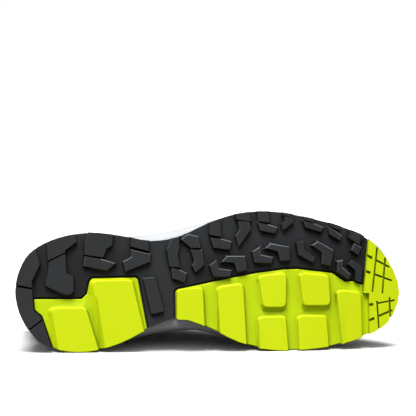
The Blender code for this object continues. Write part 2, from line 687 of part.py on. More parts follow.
def add_overlays(upper, samples):
    """Toe cap, heel counter and eyestay as steps in the wall."""
    whole = [(i, overlay_foot(sample), OVERLAY_HEAD) for i, sample in enumerate(samples)]
    widths = [blend(-OUTSIDE, OUTSIDE, step / TOE_CAP_STEPS) for step in range(TOE_CAP_STEPS + 1)]
    seam = [(TOE_CAP - TOE_CAP_SWEEP * (y - TOE_CAP_MIDDLE) ** 2, y) for y in widths]
    front = prism("front", seam + [(TIP + OUTSIDE, OUTSIDE), (TIP + OUTSIDE, -OUTSIDE)], 0.0, COUNTER_TOP)
    cap = raised_skin("toe_cap", samples, whole, OVERLAY_ROWS, True)
    combine(cap, front, "INTERSECT")
    combine(upper, cap, "UNION")
    low = COUNTER + COUNTER_SLOPE * COUNTER_LEVEL
    high = low - COUNTER_SLOPE * COUNTER_TOP
    side = ((-OUTSIDE, 0.0), (low, 0.0), (high, COUNTER_TOP), (-OUTSIDE, COUNTER_TOP))
    bm = bmesh.new()
    add_prism(bm, *([Vector((x, y, z)) for x, z in side] for y in (-OUTSIDE, OUTSIDE)))
    counter = raised_skin("counter", samples, whole, OVERLAY_ROWS, True)
    combine(counter, new_object("back", bm), "INTERSECT")
    combine(upper, counter, "UNION")
    first = round(EYESTAY_STATION * UPPER_SPANS)
    ends = [(i, share_from_top(samples[i], EYESTAY), share_from_top(samples[i], EYESTAY_EDGE))
            for i in range(first, len(samples) - first + 1)]
    combine(upper, raised_skin("eyestay", samples, ends, EYESTAY_ROWS, False), "UNION")


def make_upper(samples):
    """Hollow wall from the feather line up to the collar and the throat."""
    shares = [k / PROFILE_STEPS for k in range(PROFILE_STEPS + 1)]
    columns = []
    for i, sample in enumerate(samples):
        outer = [profile_point(sample, t) for t in shares]
        inner = [skin_point(samples, i, t, WALL + sample.pad * padding(t)) for t in shares]
        inner[0].z = outer[0].z
        along = (outer[-1] - outer[-2]).normalized()
        edge = (outer[-1] + inner[-1]) / 2.0 + along * EDGE_ROLL
        columns.append(outer + [edge] + inner[::-1])
    bm = bmesh.new()
    add_shell(bm, columns, True)
    upper = new_object("upper", bm)
    add_overlays(upper, samples)
    return upper


ThroatSide = namedtuple("ThroatSide", "edge wing eyelet normal")


def throat_side(ring, station, side):
    """Edge of the throat at a station, with points further down the outer face and the face's normal."""
    index = round(station * THROAT_SPANS) * side % len(ring)
    profile = [profile_point(ring[index], 1.0 - step / FINE_STEPS) for step in range(FINE_STEPS + 1)]
    edge = profile[0]
    wing = next(point for point in profile if (point - edge).length > TONGUE_WING)
    eyelet = next(point for point in profile if (point - edge).length > EYELET_INSET)
    along = ring[(index + 1) % len(ring)].top - ring[index - 1].top
    return ThroatSide(edge, wing, eyelet, (wing - edge).cross(along).normalized())


def make_tongue(ring):
    """Padded strip under the throat that stands out above the top eyelets."""
    sections = []
    for step in range(TONGUE_STEPS + 1):
        station = blend(*TONGUE_STATIONS, step / TONGUE_STEPS)
        lateral, medial = throat_side(ring, station, 1), throat_side(ring, station, -1)
        down = Vector((0.0, 0.0, -1.0))
        crown = (lateral.edge + medial.edge) / 2.0 + down * TONGUE_CROWN
        drop = WALL + TONGUE_CLEAR
        top = [lateral.wing - lateral.normal * drop, lateral.edge - lateral.normal * drop, crown,
               medial.edge - medial.normal * drop, medial.wing - medial.normal * drop]
        falls = [-lateral.normal, -lateral.normal, down, -medial.normal, -medial.normal]
        sections.append((top, [point + fall * TONGUE_THICK for point, fall in zip(top, falls)]))
    last_top, last_under = sections[-1]
    along = (last_top[2] - sections[-2][0][2]).normalized()
    for end in TONGUE_END:
        shift = along * end.reach + Vector((0.0, 0.0, end.curl))
        squeeze = Vector((1.0, end.width, end.width))
        middle = last_top[2]
        sections.append(tuple([middle + (point - middle) * squeeze + shift for point in row]
                              for row in (last_top, last_under)))
    bm = bmesh.new()
    add_shell(bm, [top + under[::-1] for top, under in sections], False)
    return new_object("tongue", bm)


def add_tube(bm, route, radius, sides=6):
    rings = []
    for i, point in enumerate(route):
        along = (route[min(i + 1, len(route) - 1)] - route[max(i - 1, 0)]).normalized()
        side = along.cross(Vector((0.0, 0.0, 1.0))).normalized()
        up = side.cross(along)
        turns = [2.0 * math.pi * k / sides for k in range(sides)]
        rings.append([point + (side * math.cos(a) + up * math.sin(a)) * radius for a in turns])
    add_shell(bm, rings, False)


def make_lace(ring):
    """Criss-cross runs over the throat, joined where they cross and where they meet at an eyelet."""
    first, last = LACE_STATIONS
    pitch = (first - last) / (LACE_ROWS - 1)

    def run(start, end, side):
        """Eyelet, edge, middle, edge and eyelet of one run, all clear of the upper."""
        stations = [blend(start, end, share) for share in (0.0, 0.25, 0.5, 0.75, 1.0)]
        near, far = throat_side(ring, stations[0], side), throat_side(ring, stations[4], -side)
        over, past = throat_side(ring, stations[1], side), throat_side(ring, stations[3], -side)
        halves = [throat_side(ring, stations[2], way) for way in (1, -1)]
        middle = (halves[0].edge + halves[1].edge) / 2.0 + Vector((0.0, 0.0, LACE_LIFT))
        return [near.eyelet + near.normal * LACE_LIFT, over.edge + over.normal * LACE_LIFT, middle,
                past.edge + past.normal * LACE_LIFT, far.eyelet + far.normal * LACE_LIFT]

    runs = [run(first, first, 1)]
    for row in range(LACE_ROWS - 1):
        low = first - pitch * row
        runs += [run(low, low - pitch, side) for side in (1, -1)]
    lace = None
    for route in runs:
        bm = bmesh.new()
        add_tube(bm, route, LACE_RADIUS)
        tube = new_object("lace", bm)
        if lace is None:
            lace = tube
        else:
            combine(lace, tube, "UNION")
    return lace


def finish(piece, root):
    """Metres, colour and shading of a finished piece, carried by the shoe's empty."""
    for vert in piece.data.vertices:
        vert.co *= MM
    material = bpy.data.materials.new(piece.name)
    material.use_nodes = True
    shader = material.node_tree.nodes["Principled BSDF"]
    shader.inputs["Base Color"].default_value = (*COLOURS[piece.name], 1.0)
    shader.inputs["Roughness"].default_value = RUBBER_ROUGHNESS
    piece.data.materials.clear()
    piece.data.materials.append(material)
    piece.data.name = piece.name
    piece.parent = root


def lay_down(root, pieces):
    """Turns the shoe onto its medial side and puts the middle of its outline on the floor at the origin."""
    root.rotation_euler = (-math.pi / 2.0 - LEAN, 0.0, 0.0)
    turned = root.rotation_euler.to_matrix()
    points = [turned @ vert.co for piece in pieces for vert in piece.data.vertices]
    low = [min(point[axis] for point in points) for axis in range(3)]
    high = [max(point[axis] for point in points) for axis in range(3)]
    root.location = (-(low[0] + high[0]) / 2.0, -(low[1] + high[1]) / 2.0, -low[2])


def main():
    for leftover in list(bpy.data.objects):
        bpy.data.objects.remove(leftover)
    fine = perimeter(SOLE_SPANS)
    coarse = perimeter(UPPER_SPANS)
    throat = perimeter(THROAT_SPANS)
    pieces = [
        make_outsole(fine),
        make_pad("heel_pad", fine, HEEL_WINDOW, HEEL_PODS),
        make_pad("forefoot_pad", fine, FOREFOOT_WINDOW, FOREFOOT_PODS),
        make_toe_bumper(fine),
        make_midsole(fine),
        make_insole(coarse),
        make_upper(coarse),
        make_tongue(throat),
        make_lace(throat),
    ]
    root = bpy.data.objects.new("shoe", None)
    bpy.context.scene.collection.objects.link(root)
    for piece in pieces:
        finish(piece, root)
    lay_down(root, pieces)


main()
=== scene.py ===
import json
import math
from collections import namedtuple

import bmesh
import bpy
from mathutils import Matrix, Vector
from mathutils.bvhtree import BVHTree


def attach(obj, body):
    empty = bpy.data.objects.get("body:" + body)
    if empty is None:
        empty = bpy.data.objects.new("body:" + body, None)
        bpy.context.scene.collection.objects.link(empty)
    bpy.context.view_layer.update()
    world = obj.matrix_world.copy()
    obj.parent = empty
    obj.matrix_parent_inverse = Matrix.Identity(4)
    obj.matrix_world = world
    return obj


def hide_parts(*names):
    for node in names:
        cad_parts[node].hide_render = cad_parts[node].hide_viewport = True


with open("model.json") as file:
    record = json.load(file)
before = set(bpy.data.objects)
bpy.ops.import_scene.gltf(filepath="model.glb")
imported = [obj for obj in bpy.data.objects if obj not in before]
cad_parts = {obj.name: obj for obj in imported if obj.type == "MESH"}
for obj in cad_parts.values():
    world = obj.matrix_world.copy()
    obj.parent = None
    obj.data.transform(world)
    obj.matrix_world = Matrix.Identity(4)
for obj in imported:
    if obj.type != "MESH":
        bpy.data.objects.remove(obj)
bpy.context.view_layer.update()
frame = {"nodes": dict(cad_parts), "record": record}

# The standing shoe in millimetres: x from heel to toe, y to the medial side, z up from the tread
shoe = {
    "lean": 8.4,                      # degrees past lying flat on its side
    "treadPoint": (80.0, 15.0, 0.0),  # where the record's tread mount is on the standing shoe
    "millimetre": 0.001,
    "merge": 1e-6,                    # metres, within which vertices are one
}

turned = Matrix.Rotation(-math.radians(90.0 + shoe["lean"]), 3, "X")
treadMount = Vector(frame["record"]["mounts"][0]["pos_m"])
shoeOrigin = treadMount - turned @ (Vector(shoe["treadPoint"]) * shoe["millimetre"])


def lay(point):  # from the standing shoe to the floor scene
    return turned @ (Vector(point) * shoe["millimetre"]) + shoeOrigin


def stand(point):  # and back
    return turned.transposed() @ (Vector(point) - shoeOrigin) / shoe["millimetre"]


def linear(hexColour):  # sRGB hex to the linear colour that a shader reads
    channels = [int(hexColour[i:i + 2], 16) / 255.0 for i in (1, 3, 5)]
    return tuple(c / 12.92 if c <= 0.04045 else ((c + 0.055) / 1.055) ** 2.4 for c in channels) + (1.0,)


def setInputs(tree, node, inputs):  # each one a link or a value
    for name, value in inputs.items():
        if isinstance(value, bpy.types.NodeSocket):
            tree.links.new(value, node.inputs[name])
        else:
            node.inputs[name].default_value = value


def addNode(tree, kind, settings=None, inputs=None):  # a node with its settings, values and links
    node = tree.nodes.new("ShaderNode" + kind)
    for name, value in (settings or {}).items():
        setattr(node, name, value)
    setInputs(tree, node, inputs or {})
    return node


smooth = {"interpolation_type": "SMOOTHSTEP"}  # settings that several nodes share
product = {"operation": "MULTIPLY"}
colours = {"data_type": "RGBA"}


def newMaterial(name):
    material = bpy.data.materials.new(name)
    material.use_nodes = True
    return material, material.node_tree, material.node_tree.nodes["Principled BSDF"]


def newPiece(name, bm, material, slot, *replaced):  # a finished mesh that rides on the shoe
    mesh = bpy.data.meshes.new(name)
    bm.to_mesh(mesh)
    bm.free()
    piece = bpy.data.objects.new(name, mesh)
    bpy.context.scene.collection.objects.link(piece)
    mesh.materials.append(material)
    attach(piece, "root")
    if replaced:
        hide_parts(*replaced)
    return piece


print("stage: camera, light and floor")

cameraView = {
    "azimuth": -8.0, "elevation": 5.0, "roll": 1.0,  # degrees round the lying shoe
    "distance": 1.2,                                 # metres to the aimed point
    "pixelsPerMillimetre": 1.29,
    "imageSize": 416,
    "sensor": 36.0,
    "aimPoint": (146.0, 0.0, 0.0),                   # on the standing shoe
    "aimPixel": (205.0, 291.0),
}


def makeCamera(view):
    azimuth, elevation, roll = (math.radians(view[key]) for key in ("azimuth", "elevation", "roll"))
    back = Vector((math.sin(azimuth) * math.cos(elevation), -math.cos(azimuth) * math.cos(elevation),
                   math.sin(elevation)))
    right = Vector((0.0, 0.0, 1.0)).cross(back).normalized()
    up = back.cross(right)
    tilt = Matrix.Rotation(roll, 3, back)
    right, up = tilt @ right, tilt @ up
    focal = view["pixelsPerMillimetre"] * view["distance"] / shoe["millimetre"]  # in pixels
    middle = view["imageSize"] / 2.0
    ray = right * (view["aimPixel"][0] - middle) + up * (middle - view["aimPixel"][1]) - back * focal
    data = bpy.data.cameras.new("camera")
    data.sensor_width = view["sensor"]
    data.lens = focal / view["imageSize"] * view["sensor"]
    camera = bpy.data.objects.new("camera", data)
    camera.matrix_world = Matrix((right, up, back)).transposed().to_4x4()
    camera.location = lay(view["aimPoint"]) - ray * (view["distance"] / focal)
    bpy.context.scene.collection.objects.link(camera)
    bpy.context.scene.camera = camera


makeCamera(cameraView)

studio = {
    "surround": 1.0, "band": (-0.03, -0.01, 0.06, 0.08),  # white surround between sines of the elevation
    "overhead": 0.6,                                      # sky that grows from dark at the floor
    "behind": 0.75, "behindSpan": (-0.2, 0.6),            # its share on the far side
    "bounce": 0.4, "bounceSpan": (-1.0, -0.5),            # light that the floor in front throws back
    "softbox": {"strength": 5.25, "angle": 40.0, "from": (-0.20, -0.48, 0.88)},  # for the shoe alone
    "skylight": {"strength": 4.2, "angle": 34.0, "from": (-0.05, 0.10, 1.0)},    # for the floor alone
    "floorSize": 60.0,                                    # so far that its end lies in the white surround
    "paper": "#fbfbfb", "paperRoughness": 0.9, "paperSpecular": 0.1,
}


def makeWorld():
    world = bpy.data.worlds.new("studio")
    world.use_nodes = True
    tree = world.node_tree
    direction = addNode(tree, "TexCoord")
    toward = addNode(tree, "SeparateXYZ", inputs={0: direction.outputs["Generated"]})
    away, height = toward.outputs["Y"], toward.outputs["Z"]
    dark, low, high, ceiling = studio["band"]
    rising = addNode(tree, "MapRange", smooth, {
        "Value": height, "From Min": dark, "From Max": low, "To Max": studio["surround"]})
    falling = addNode(tree, "MapRange", smooth, {
        "Value": height, "From Min": high, "From Max": ceiling, "To Min": 1.0, "To Max": 0.0})
    band = addNode(tree, "Math", product, {0: rising.outputs["Result"], 1: falling.outputs["Result"]})
    sky = addNode(tree, "MapRange", inputs={"Value": height, "To Max": studio["overhead"]})
    behind = addNode(tree, "MapRange", smooth, {
        "Value": away, "From Min": studio["behindSpan"][0], "From Max": studio["behindSpan"][1],
        "To Min": 1.0, "To Max": studio["behind"]})
    bounce = addNode(tree, "MapRange", smooth, {
        "Value": away, "From Min": studio["bounceSpan"][0], "From Max": studio["bounceSpan"][1],
        "To Min": studio["bounce"], "To Max": 0.0})
    spread = addNode(tree, "Math", {"operation": "MULTIPLY_ADD"}, {
        0: sky.outputs["Result"], 1: behind.outputs["Result"], 2: bounce.outputs["Result"]})
    level = addNode(tree, "Math", {"operation": "MAXIMUM"}, {
        0: band.outputs["Value"], 1: spread.outputs["Value"]})
    setInputs(tree, tree.nodes["Background"], {
        "Strength": level.outputs["Value"], "Color": (1.0, 1.0, 1.0, 1.0)})
    bpy.context.scene.world = world


def makeFloor():
    # Studio paper: uncoated, so it only spreads light
    material, tree, shader = newMaterial("studioPaper")
    setInputs(tree, shader, {
        "Base Color": linear(studio["paper"]), "Roughness": studio["paperRoughness"],
        "Specular IOR Level": studio["paperSpecular"]})
    bm = bmesh.new()
    bmesh.ops.create_grid(bm, x_segments=1, y_segments=1, size=studio["floorSize"] / 2.0)
    mesh = bpy.data.meshes.new("floor")
    bm.to_mesh(mesh)
    bm.free()
    mesh.materials.append(material)
    floor = bpy.data.objects.new("floor", mesh)
    bpy.context.scene.collection.objects.link(floor)
    floor.visible_diffuse = False  # the light from below is the world's, so that undersides stay deep
    floor.visible_glossy = False
    return floor


def makeLamp(name, floor, state):  # whether the floor is left out of its light or takes all of it
    source = studio[name]
    data = bpy.data.lights.new(name, "SUN")
    data.energy = source["strength"]
    data.angle = math.radians(source["angle"])
    lamp = bpy.data.objects.new(name, data)
    lamp.rotation_euler = Vector(source["from"]).to_track_quat("Z", "Y").to_euler()
    bpy.context.scene.collection.objects.link(lamp)
    lit = bpy.data.collections.new(name + "Floor")
    lit.objects.link(floor)
    lit.collection_objects[0].light_linking.link_state = state
    lamp.light_linking.receiver_collection = lit


makeWorld()
studioFloor = makeFloor()
makeLamp("softbox", studioFloor, "EXCLUDE")
makeLamp("skylight", studioFloor, "INCLUDE")
bpy.context.scene.view_settings.view_transform = "Standard"

print("stage: materials")

rubber = {
    "cloudDetail": 4.0, "cornerShadeRays": 12, "patchSpan": (0.3, 0.7), "patchLeast": 0.5, "glossSpread": 0.06,
    "grainSize": 0.0012, "grainDepth": 0.0002, "grainDetail": 3.0, "grainRoughness": 0.6,
    "ior": 1.52, "waist": 112.0, "waistSpan": 0.04, "sideSpan": (0.062, 0.094),
}


def makeRubber(name, look):
    # Moulded rubber: matte, with the grain of a spark-eroded mould; painted shade in corners and on set-back
    # faces, and a painted highlight, partly edge wear, on the edges
    material, tree, shader = newMaterial(name)
    place = addNode(tree, "TexCoord").outputs["Object"]
    cloud = addNode(tree, "TexNoise", inputs={
        "Vector": place, "Scale": 1.0 / look["cloudSize"], "Detail": look["cloudDetail"]}).outputs["Fac"]
    colour = addNode(tree, "Mix", colours, {0: cloud, 6: linear(look["dark"]), 7: linear(look["light"])})
    # painted shade: ambient occlusion darkens the colour toward the corner colour in corners, slits and at
    # the roots of lugs and pods
    corner = addNode(tree, "AmbientOcclusion", {"samples": look["cornerShadeRays"], "only_local": True}, {
        "Distance": look["cornerShadeSize"]})
    openness = addNode(tree, "MapRange", inputs={
        "Value": corner.outputs["AO"], "From Min": look["cornerShadeSpan"][0], "From Max": look["cornerShadeSpan"][1]})
    # painted shade: faces set back from the tread take the darker recess colour, less so at the waist and on
    # the lateral side
    along = addNode(tree, "SeparateXYZ", inputs={0: place})
    fromWaist = addNode(tree, "Math", {"operation": "SUBTRACT"}, {
        0: along.outputs["X"], 1: lay((look["waist"], 0.0, 0.0)).x})
    apart = addNode(tree, "Math", {"operation": "ABSOLUTE"}, {0: fromWaist.outputs["Value"]})
    atWaist = addNode(tree, "MapRange", smooth, {
        "Value": apart.outputs["Value"], "From Max": look["waistSpan"], "To Min": 1.0 - look["waistBloom"]})
    atSide = addNode(tree, "MapRange", smooth, {
        "Value": along.outputs["Z"], "From Min": look["sideSpan"][0], "From Max": look["sideSpan"][1],
        "To Min": 1.0, "To Max": 1.0 - look["sideBloom"]})
    recessShadeShare = addNode(tree, "Math", product, {0: atWaist.outputs["Result"], 1: atSide.outputs["Result"]})
    recess = addNode(tree, "Attribute", {"attribute_name": "recess"})
    sunken = addNode(tree, "Math", product, {0: recess.outputs["Fac"], 1: recessShadeShare.outputs["Value"]})
    deeper = addNode(tree, "Mix", colours, {
        0: sunken.outputs["Value"], 6: colour.outputs[2], 7: linear(look["recess"])})
    shaded = addNode(tree, "Mix", colours, {
        0: openness.outputs["Result"], 6: linear(look["corner"]), 7: deeper.outputs[2]})
    # painted highlight, partly edge wear: bevelled edges turn paler in patches, mostly those that face up as
    # the shoe lies
    wornAndLitEdge = addNode(tree, "Attribute", {"attribute_name": "wornAndLitEdge"})
    patchy = addNode(tree, "MapRange", inputs={
        "Value": cloud, "From Min": look["patchSpan"][0], "From Max": look["patchSpan"][1],
        "To Min": look["patchLeast"]})
    scuffs = addNode(tree, "Math", product, {0: wornAndLitEdge.outputs["Fac"], 1: patchy.outputs["Result"]})
    wearAndHighlight = addNode(tree, "Mix", colours, {
        0: scuffs.outputs["Value"], 6: shaded.outputs[2], 7: linear(look["wornAndLitEdge"])})
    grain = addNode(tree, "TexNoise", inputs={
        "Vector": place, "Scale": 1.0 / look["grainSize"], "Detail": look["grainDetail"],
        "Roughness": look["grainRoughness"]})
    bump = addNode(tree, "Bump", inputs={
        "Height": grain.outputs["Fac"], "Strength": look["bump"], "Distance": look["grainDepth"]})
    dull, spread = look["roughness"], look["glossSpread"]
    gloss = addNode(tree, "MapRange", inputs={
        "Value": cloud, "To Min": dull - spread, "To Max": dull + spread})
    setInputs(tree, shader, {
        "Base Color": wearAndHighlight.outputs[2], "Roughness": gloss.outputs["Result"],
        "Normal": bump.outputs["Normal"], "IOR": look["ior"], "Specular IOR Level": look["specular"]})
    return material


blackRubber = makeRubber("blackNitrileRubber", {
    # the corner and recess colours are painted shade; the pale edge colour is a painted highlight that is
    # partly edge wear
    **rubber, "dark": "#1d1f21", "light": "#252729", "corner": "#030303", "recess": "#111214",
    "wornAndLitEdge": "#85888b", "cornerShadeSize": 0.006, "cornerShadeSpan": (0.35, 0.9),
    "cloudSize": 0.02, "roughness": 0.62, "specular": 0.22,
    "bump": 0.35,                         # grain is finer on the real one, drawn to show
    "waistBloom": 1.0, "sideBloom": 0.9,  # the painted recess shade fades out at the waist and on the lateral side, so the plate is paler there
})
brightRubber = makeRubber("brightNitrileRubber", {
    # the corner and recess colours are painted shade; the pale edge colour is a painted highlight that is
    # partly edge wear
    **rubber, "dark": "#b9ca06", "light": "#bece0a", "corner": "#5f7a00", "recess": "#b0c604",
    "wornAndLitEdge": "#c8d81c", "cornerShadeSize": 0.012, "cornerShadeSpan": (0.1, 0.97),
    "cloudSize": 0.03, "roughness": 0.55, "specular": 0.12,
    "bump": 0.15, "waistBloom": 0.0, "sideBloom": 0.0,
})
textile = {
    "threadSpan": (0.15, 0.7), "fuzzDetail": 4.0, "fuzzBump": 0.3, "fuzzDepth": 0.5, "glossSpread": 0.1,
    "sheenRoughness": 0.5,
}


def makeFabric(name, look):
    # Woven or knitted polyester: dull, with a soft sheen at the rims and shadow between the threads
    material, tree, shader = newMaterial(name)
    place = addNode(tree, "TexCoord").outputs["Object"]
    cells = addNode(tree, "TexVoronoi", inputs={
        "Vector": place, "Scale": 1.0 / look["cellSize"], "Randomness": look["random"]})
    fuzz = addNode(tree, "TexNoise", inputs={
        "Vector": place, "Scale": 1.0 / look["fuzzSize"], "Detail": look["fuzzDetail"]}).outputs["Fac"]
    thread = addNode(tree, "MapRange", inputs={
        "Value": cells.outputs["Distance"], "From Min": look["threadSpan"][0],
        "From Max": look["threadSpan"][1]}).outputs["Result"]
    colour = addNode(tree, "Mix", colours, {0: thread, 6: linear(look["light"]), 7: linear(look["dark"])})
    coarse = addNode(tree, "Bump", {"invert": True}, {
        "Height": thread, "Strength": look["bump"], "Distance": look["cellDepth"]})
    fine = addNode(tree, "Bump", inputs={
        "Height": fuzz, "Strength": look["fuzzBump"], "Distance": look["cellDepth"] * look["fuzzDepth"],
        "Normal": coarse.outputs["Normal"]})
    dull, spread = look["roughness"], look["glossSpread"]
    gloss = addNode(tree, "MapRange", inputs={
        "Value": fuzz, "To Min": dull - spread, "To Max": dull + spread})
    setInputs(tree, shader, {
        "Base Color": colour.outputs[2], "Roughness": gloss.outputs["Result"],
        "Normal": fine.outputs["Normal"], "Specular IOR Level": look["specular"],
        "Sheen Weight": look["sheen"], "Sheen Roughness": look["sheenRoughness"]})
    return material


blackLining = makeFabric("blackSpacerLining", {
    **textile, "dark": "#0c0c0d", "light": "#1d1e20", "cellSize": 0.0016, "random": 0.2, "cellDepth": 0.0004,
    "bump": 0.6, "fuzzSize": 0.0005, "roughness": 0.9, "specular": 0.2, "sheen": 0.12,
})
footBed = makeFabric("greyFootBedKnit", {
    **textile, "dark": "#1d1e1f", "light": "#37393b", "cellSize": 0.0018, "random": 0.3, "cellDepth": 0.0003,
    "bump": 0.5, "fuzzSize": 0.0006, "roughness": 0.9, "specular": 0.2, "sheen": 0.1,
})
blackThread = makeFabric("blackBondedThread", {
    **textile, "dark": "#202123", "light": "#3a3c3f", "cellSize": 0.0005, "random": 0.6, "cellDepth": 0.0001,
    "bump": 0.5, "fuzzSize": 0.0004, "roughness": 0.6, "specular": 0.4, "sheen": 0.0,
})


def makeUpperCloth(mesh, leather, seam):
    # Knitted spacer mesh with microfibre overlays: open and dull, then close-grained with a low gloss
    material, tree, shader = newMaterial("blackMeshAndMicrofibre")
    place = addNode(tree, "TexCoord").outputs["Object"]
    inside = addNode(tree, "Attribute", {"attribute_name": "overlay"})  # in millimetres
    cover = addNode(tree, "MapRange", inputs={
        "Value": inside.outputs["Fac"], "From Min": -seam["blur"],
        "From Max": seam["blur"]}).outputs["Result"]
    cells = addNode(tree, "TexVoronoi", inputs={
        "Vector": place, "Scale": 1.0 / mesh["cellSize"], "Randomness": mesh["random"]})
    holes = addNode(tree, "MapRange", inputs={
        "Value": cells.outputs["Distance"], "From Min": mesh["holeSpan"][0], "From Max": mesh["holeSpan"][1],
        "To Min": 1.0, "To Max": 0.0}).outputs["Result"]
    grain = addNode(tree, "TexVoronoi", inputs={"Vector": place, "Scale": 1.0 / leather["grainSize"]})
    cloud = addNode(tree, "TexNoise", inputs={
        "Vector": place, "Scale": 1.0 / leather["cloudSize"], "Detail": leather["cloudDetail"]})
    knit = addNode(tree, "Mix", colours, {0: holes, 6: linear(mesh["dark"]), 7: linear(mesh["light"])})
    hide = addNode(tree, "Mix", colours, {
        0: cloud.outputs["Fac"], 6: linear(leather["dark"]), 7: linear(leather["light"])})
    colour = addNode(tree, "Mix", colours, {0: cover, 6: knit.outputs[2], 7: hide.outputs[2]})
    relief = addNode(tree, "Mix", {"data_type": "FLOAT"}, {0: cover, 2: holes, 3: grain.outputs["Distance"]})
    depth = addNode(tree, "MapRange", inputs={
        "Value": cover, "To Min": mesh["depth"], "To Max": leather["depth"]})
    fine = addNode(tree, "Bump", inputs={
        "Height": relief.outputs[0], "Strength": mesh["bump"], "Distance": depth.outputs["Result"]})
    step = addNode(tree, "Bump", inputs={
        "Height": cover, "Strength": seam["bump"], "Distance": seam["depth"],
        "Normal": fine.outputs["Normal"]})
    gloss = addNode(tree, "MapRange", inputs={
        "Value": cover, "To Min": mesh["roughness"], "To Max": leather["roughness"]})
    setInputs(tree, shader, {
        "Base Color": colour.outputs[2], "Roughness": gloss.outputs["Result"],
        "Normal": step.outputs["Normal"],
        "Specular IOR Level": leather["specular"], "Sheen Weight": mesh["sheen"]})
    return material


blackTextile = makeUpperCloth(
    {"dark": "#070708", "light": "#1d1e20", "cellSize": 0.0022, "random": 0.3, "holeSpan": (0.15, 0.7),
     "depth": 0.0006, "bump": 0.7, "roughness": 0.85, "sheen": 0.05},
    {"dark": "#121213", "light": "#1b1b1d", "grainSize": 0.0012, "cloudSize": 0.012, "cloudDetail": 5.0,
     "depth": 0.00012, "roughness": 0.52, "specular": 0.3},
    {"blur": 0.2, "depth": 0.0004, "bump": 1.0})


def makeFoam(look):
    # Moulded EVA foam: chalky and pale, with a fine skin of closed pores
    material, tree, shader = newMaterial("paleEvaFoam")
    place = addNode(tree, "TexCoord").outputs["Object"]
    cloud = addNode(tree, "TexNoise", inputs={
        "Vector": place, "Scale": 1.0 / look["cloudSize"], "Detail": look["cloudDetail"]}).outputs["Fac"]
    colour = addNode(tree, "Mix", colours, {0: cloud, 6: linear(look["dark"]), 7: linear(look["light"])})
    gloss = addNode(tree, "MapRange", inputs={
        "Value": cloud, "To Min": look["gloss"][0], "To Max": look["gloss"][1]})
    pores = addNode(tree, "TexVoronoi", inputs={"Vector": place, "Scale": 1.0 / look["poreSize"]})
    bump = addNode(tree, "Bump", inputs={
        "Height": pores.outputs["Distance"], "Strength": look["bump"], "Distance": look["poreDepth"]})
    setInputs(tree, shader, {
        "Base Color": colour.outputs[2], "Roughness": gloss.outputs["Result"],
        "Normal": bump.outputs["Normal"], "IOR": look["ior"], "Specular IOR Level": look["specular"]})
    return material


paleFoam = makeFoam({
    "dark": "#adafb2", "light": "#b9bbbd", "cloudSize": 0.03, "cloudDetail": 5.0, "gloss": (0.6, 0.75),
    "poreSize": 0.0009, "poreDepth": 0.00015, "bump": 0.25, "ior": 1.45, "specular": 0.08,
})


def makeCord(look):
    # Flat braided polyester lace: two sets of strands that cross at a slant
    material, tree, shader = newMaterial("blackBraidedPolyester")
    place = addNode(tree, "TexCoord").outputs["UV"]
    slants = []
    for turn in (-1.0, 1.0):
        turnedUv = addNode(tree, "Mapping", inputs={
            "Vector": place, "Rotation": (0.0, 0.0, turn * math.radians(look["slant"]))})
        slants.append(addNode(tree, "TexWave", inputs={
            "Vector": turnedUv.outputs["Vector"], "Scale": look["waveScale"] / look["strand"]}))
    weave = addNode(tree, "Math", {"operation": "MAXIMUM"}, {
        0: slants[0].outputs["Fac"], 1: slants[1].outputs["Fac"]}).outputs["Value"]
    colour = addNode(tree, "Mix", colours, {0: weave, 6: linear(look["dark"]), 7: linear(look["light"])})
    bump = addNode(tree, "Bump", inputs={
        "Height": weave, "Strength": look["bump"], "Distance": look["depth"]})
    setInputs(tree, shader, {
        "Base Color": colour.outputs[2], "Normal": bump.outputs["Normal"],
        "Roughness": look["roughness"], "Specular IOR Level": look["specular"],
        "Sheen Weight": look["sheen"]})
    return material


blackCord = makeCord({
    "dark": "#0a0a0b", "light": "#29292b", "slant": 35.0, "strand": 0.0011, "waveScale": 0.314,
    "depth": 0.0003, "bump": 0.6, "roughness": 0.75, "specular": 0.3, "sheen": 0.1,
})


def makeEyeletMetal(look):
    # Stoved black paint on pressed steel: smooth, with a few dull scuffs
    material, tree, shader = newMaterial("blackPaintedSteel")
    place = addNode(tree, "TexCoord").outputs["Object"]
    scuffs = addNode(tree, "TexNoise", inputs={
        "Vector": place, "Scale": 1.0 / look["scuffSize"], "Detail": look["scuffDetail"]}).outputs["Fac"]
    colour = addNode(tree, "Mix", colours, {0: scuffs, 6: linear(look["dark"]), 7: linear(look["light"])})
    gloss = addNode(tree, "MapRange", inputs={
        "Value": scuffs, "To Min": look["gloss"][0], "To Max": look["gloss"][1]})
    setInputs(tree, shader, {"Base Color": colour.outputs[2], "Roughness": gloss.outputs["Result"]})
    return material


eyeletMetal = makeEyeletMetal({
    "dark": "#0e0e0f", "light": "#1c1c1d", "scuffSize": 0.003, "scuffDetail": 5.0, "gloss": (0.25, 0.5),
})

print("stage: shoe form")

soleSizes = {
    "toeSpring": 16.0, "springStart": 200.0, "tip": 306.0, "heelBevel": 4.0, "bevelEnd": 25.0,
    "plateTop": 8.0, "plateInset": 0.2, "gap": 0.3,
    "lateralLean": 0.09, "medialLean": 0.165,
    "wallInset": 0.6, "rimRound": 1.0, "rimWidth": 2.6, "recessDepth": 4.0,
    "flareShare": 0.45, "shoulderShare": 0.82, "archSwell": 0.18, "archFlare": 6.0,
    "toeWrap": 3.2, "wrapStart": 256.0, "wrapFull": 280.0,
    "perSpan": 12, "wallBlend": 7,
}
upperSizes = {
    "featherStep": 1.1, "wall": 2.5, "edgeRoll": 1.5, "paddingStart": 0.5, "paddingSpan": 0.55,
    "profileSteps": 44, "rollSteps": 6, "liningStart": 0.5,
}

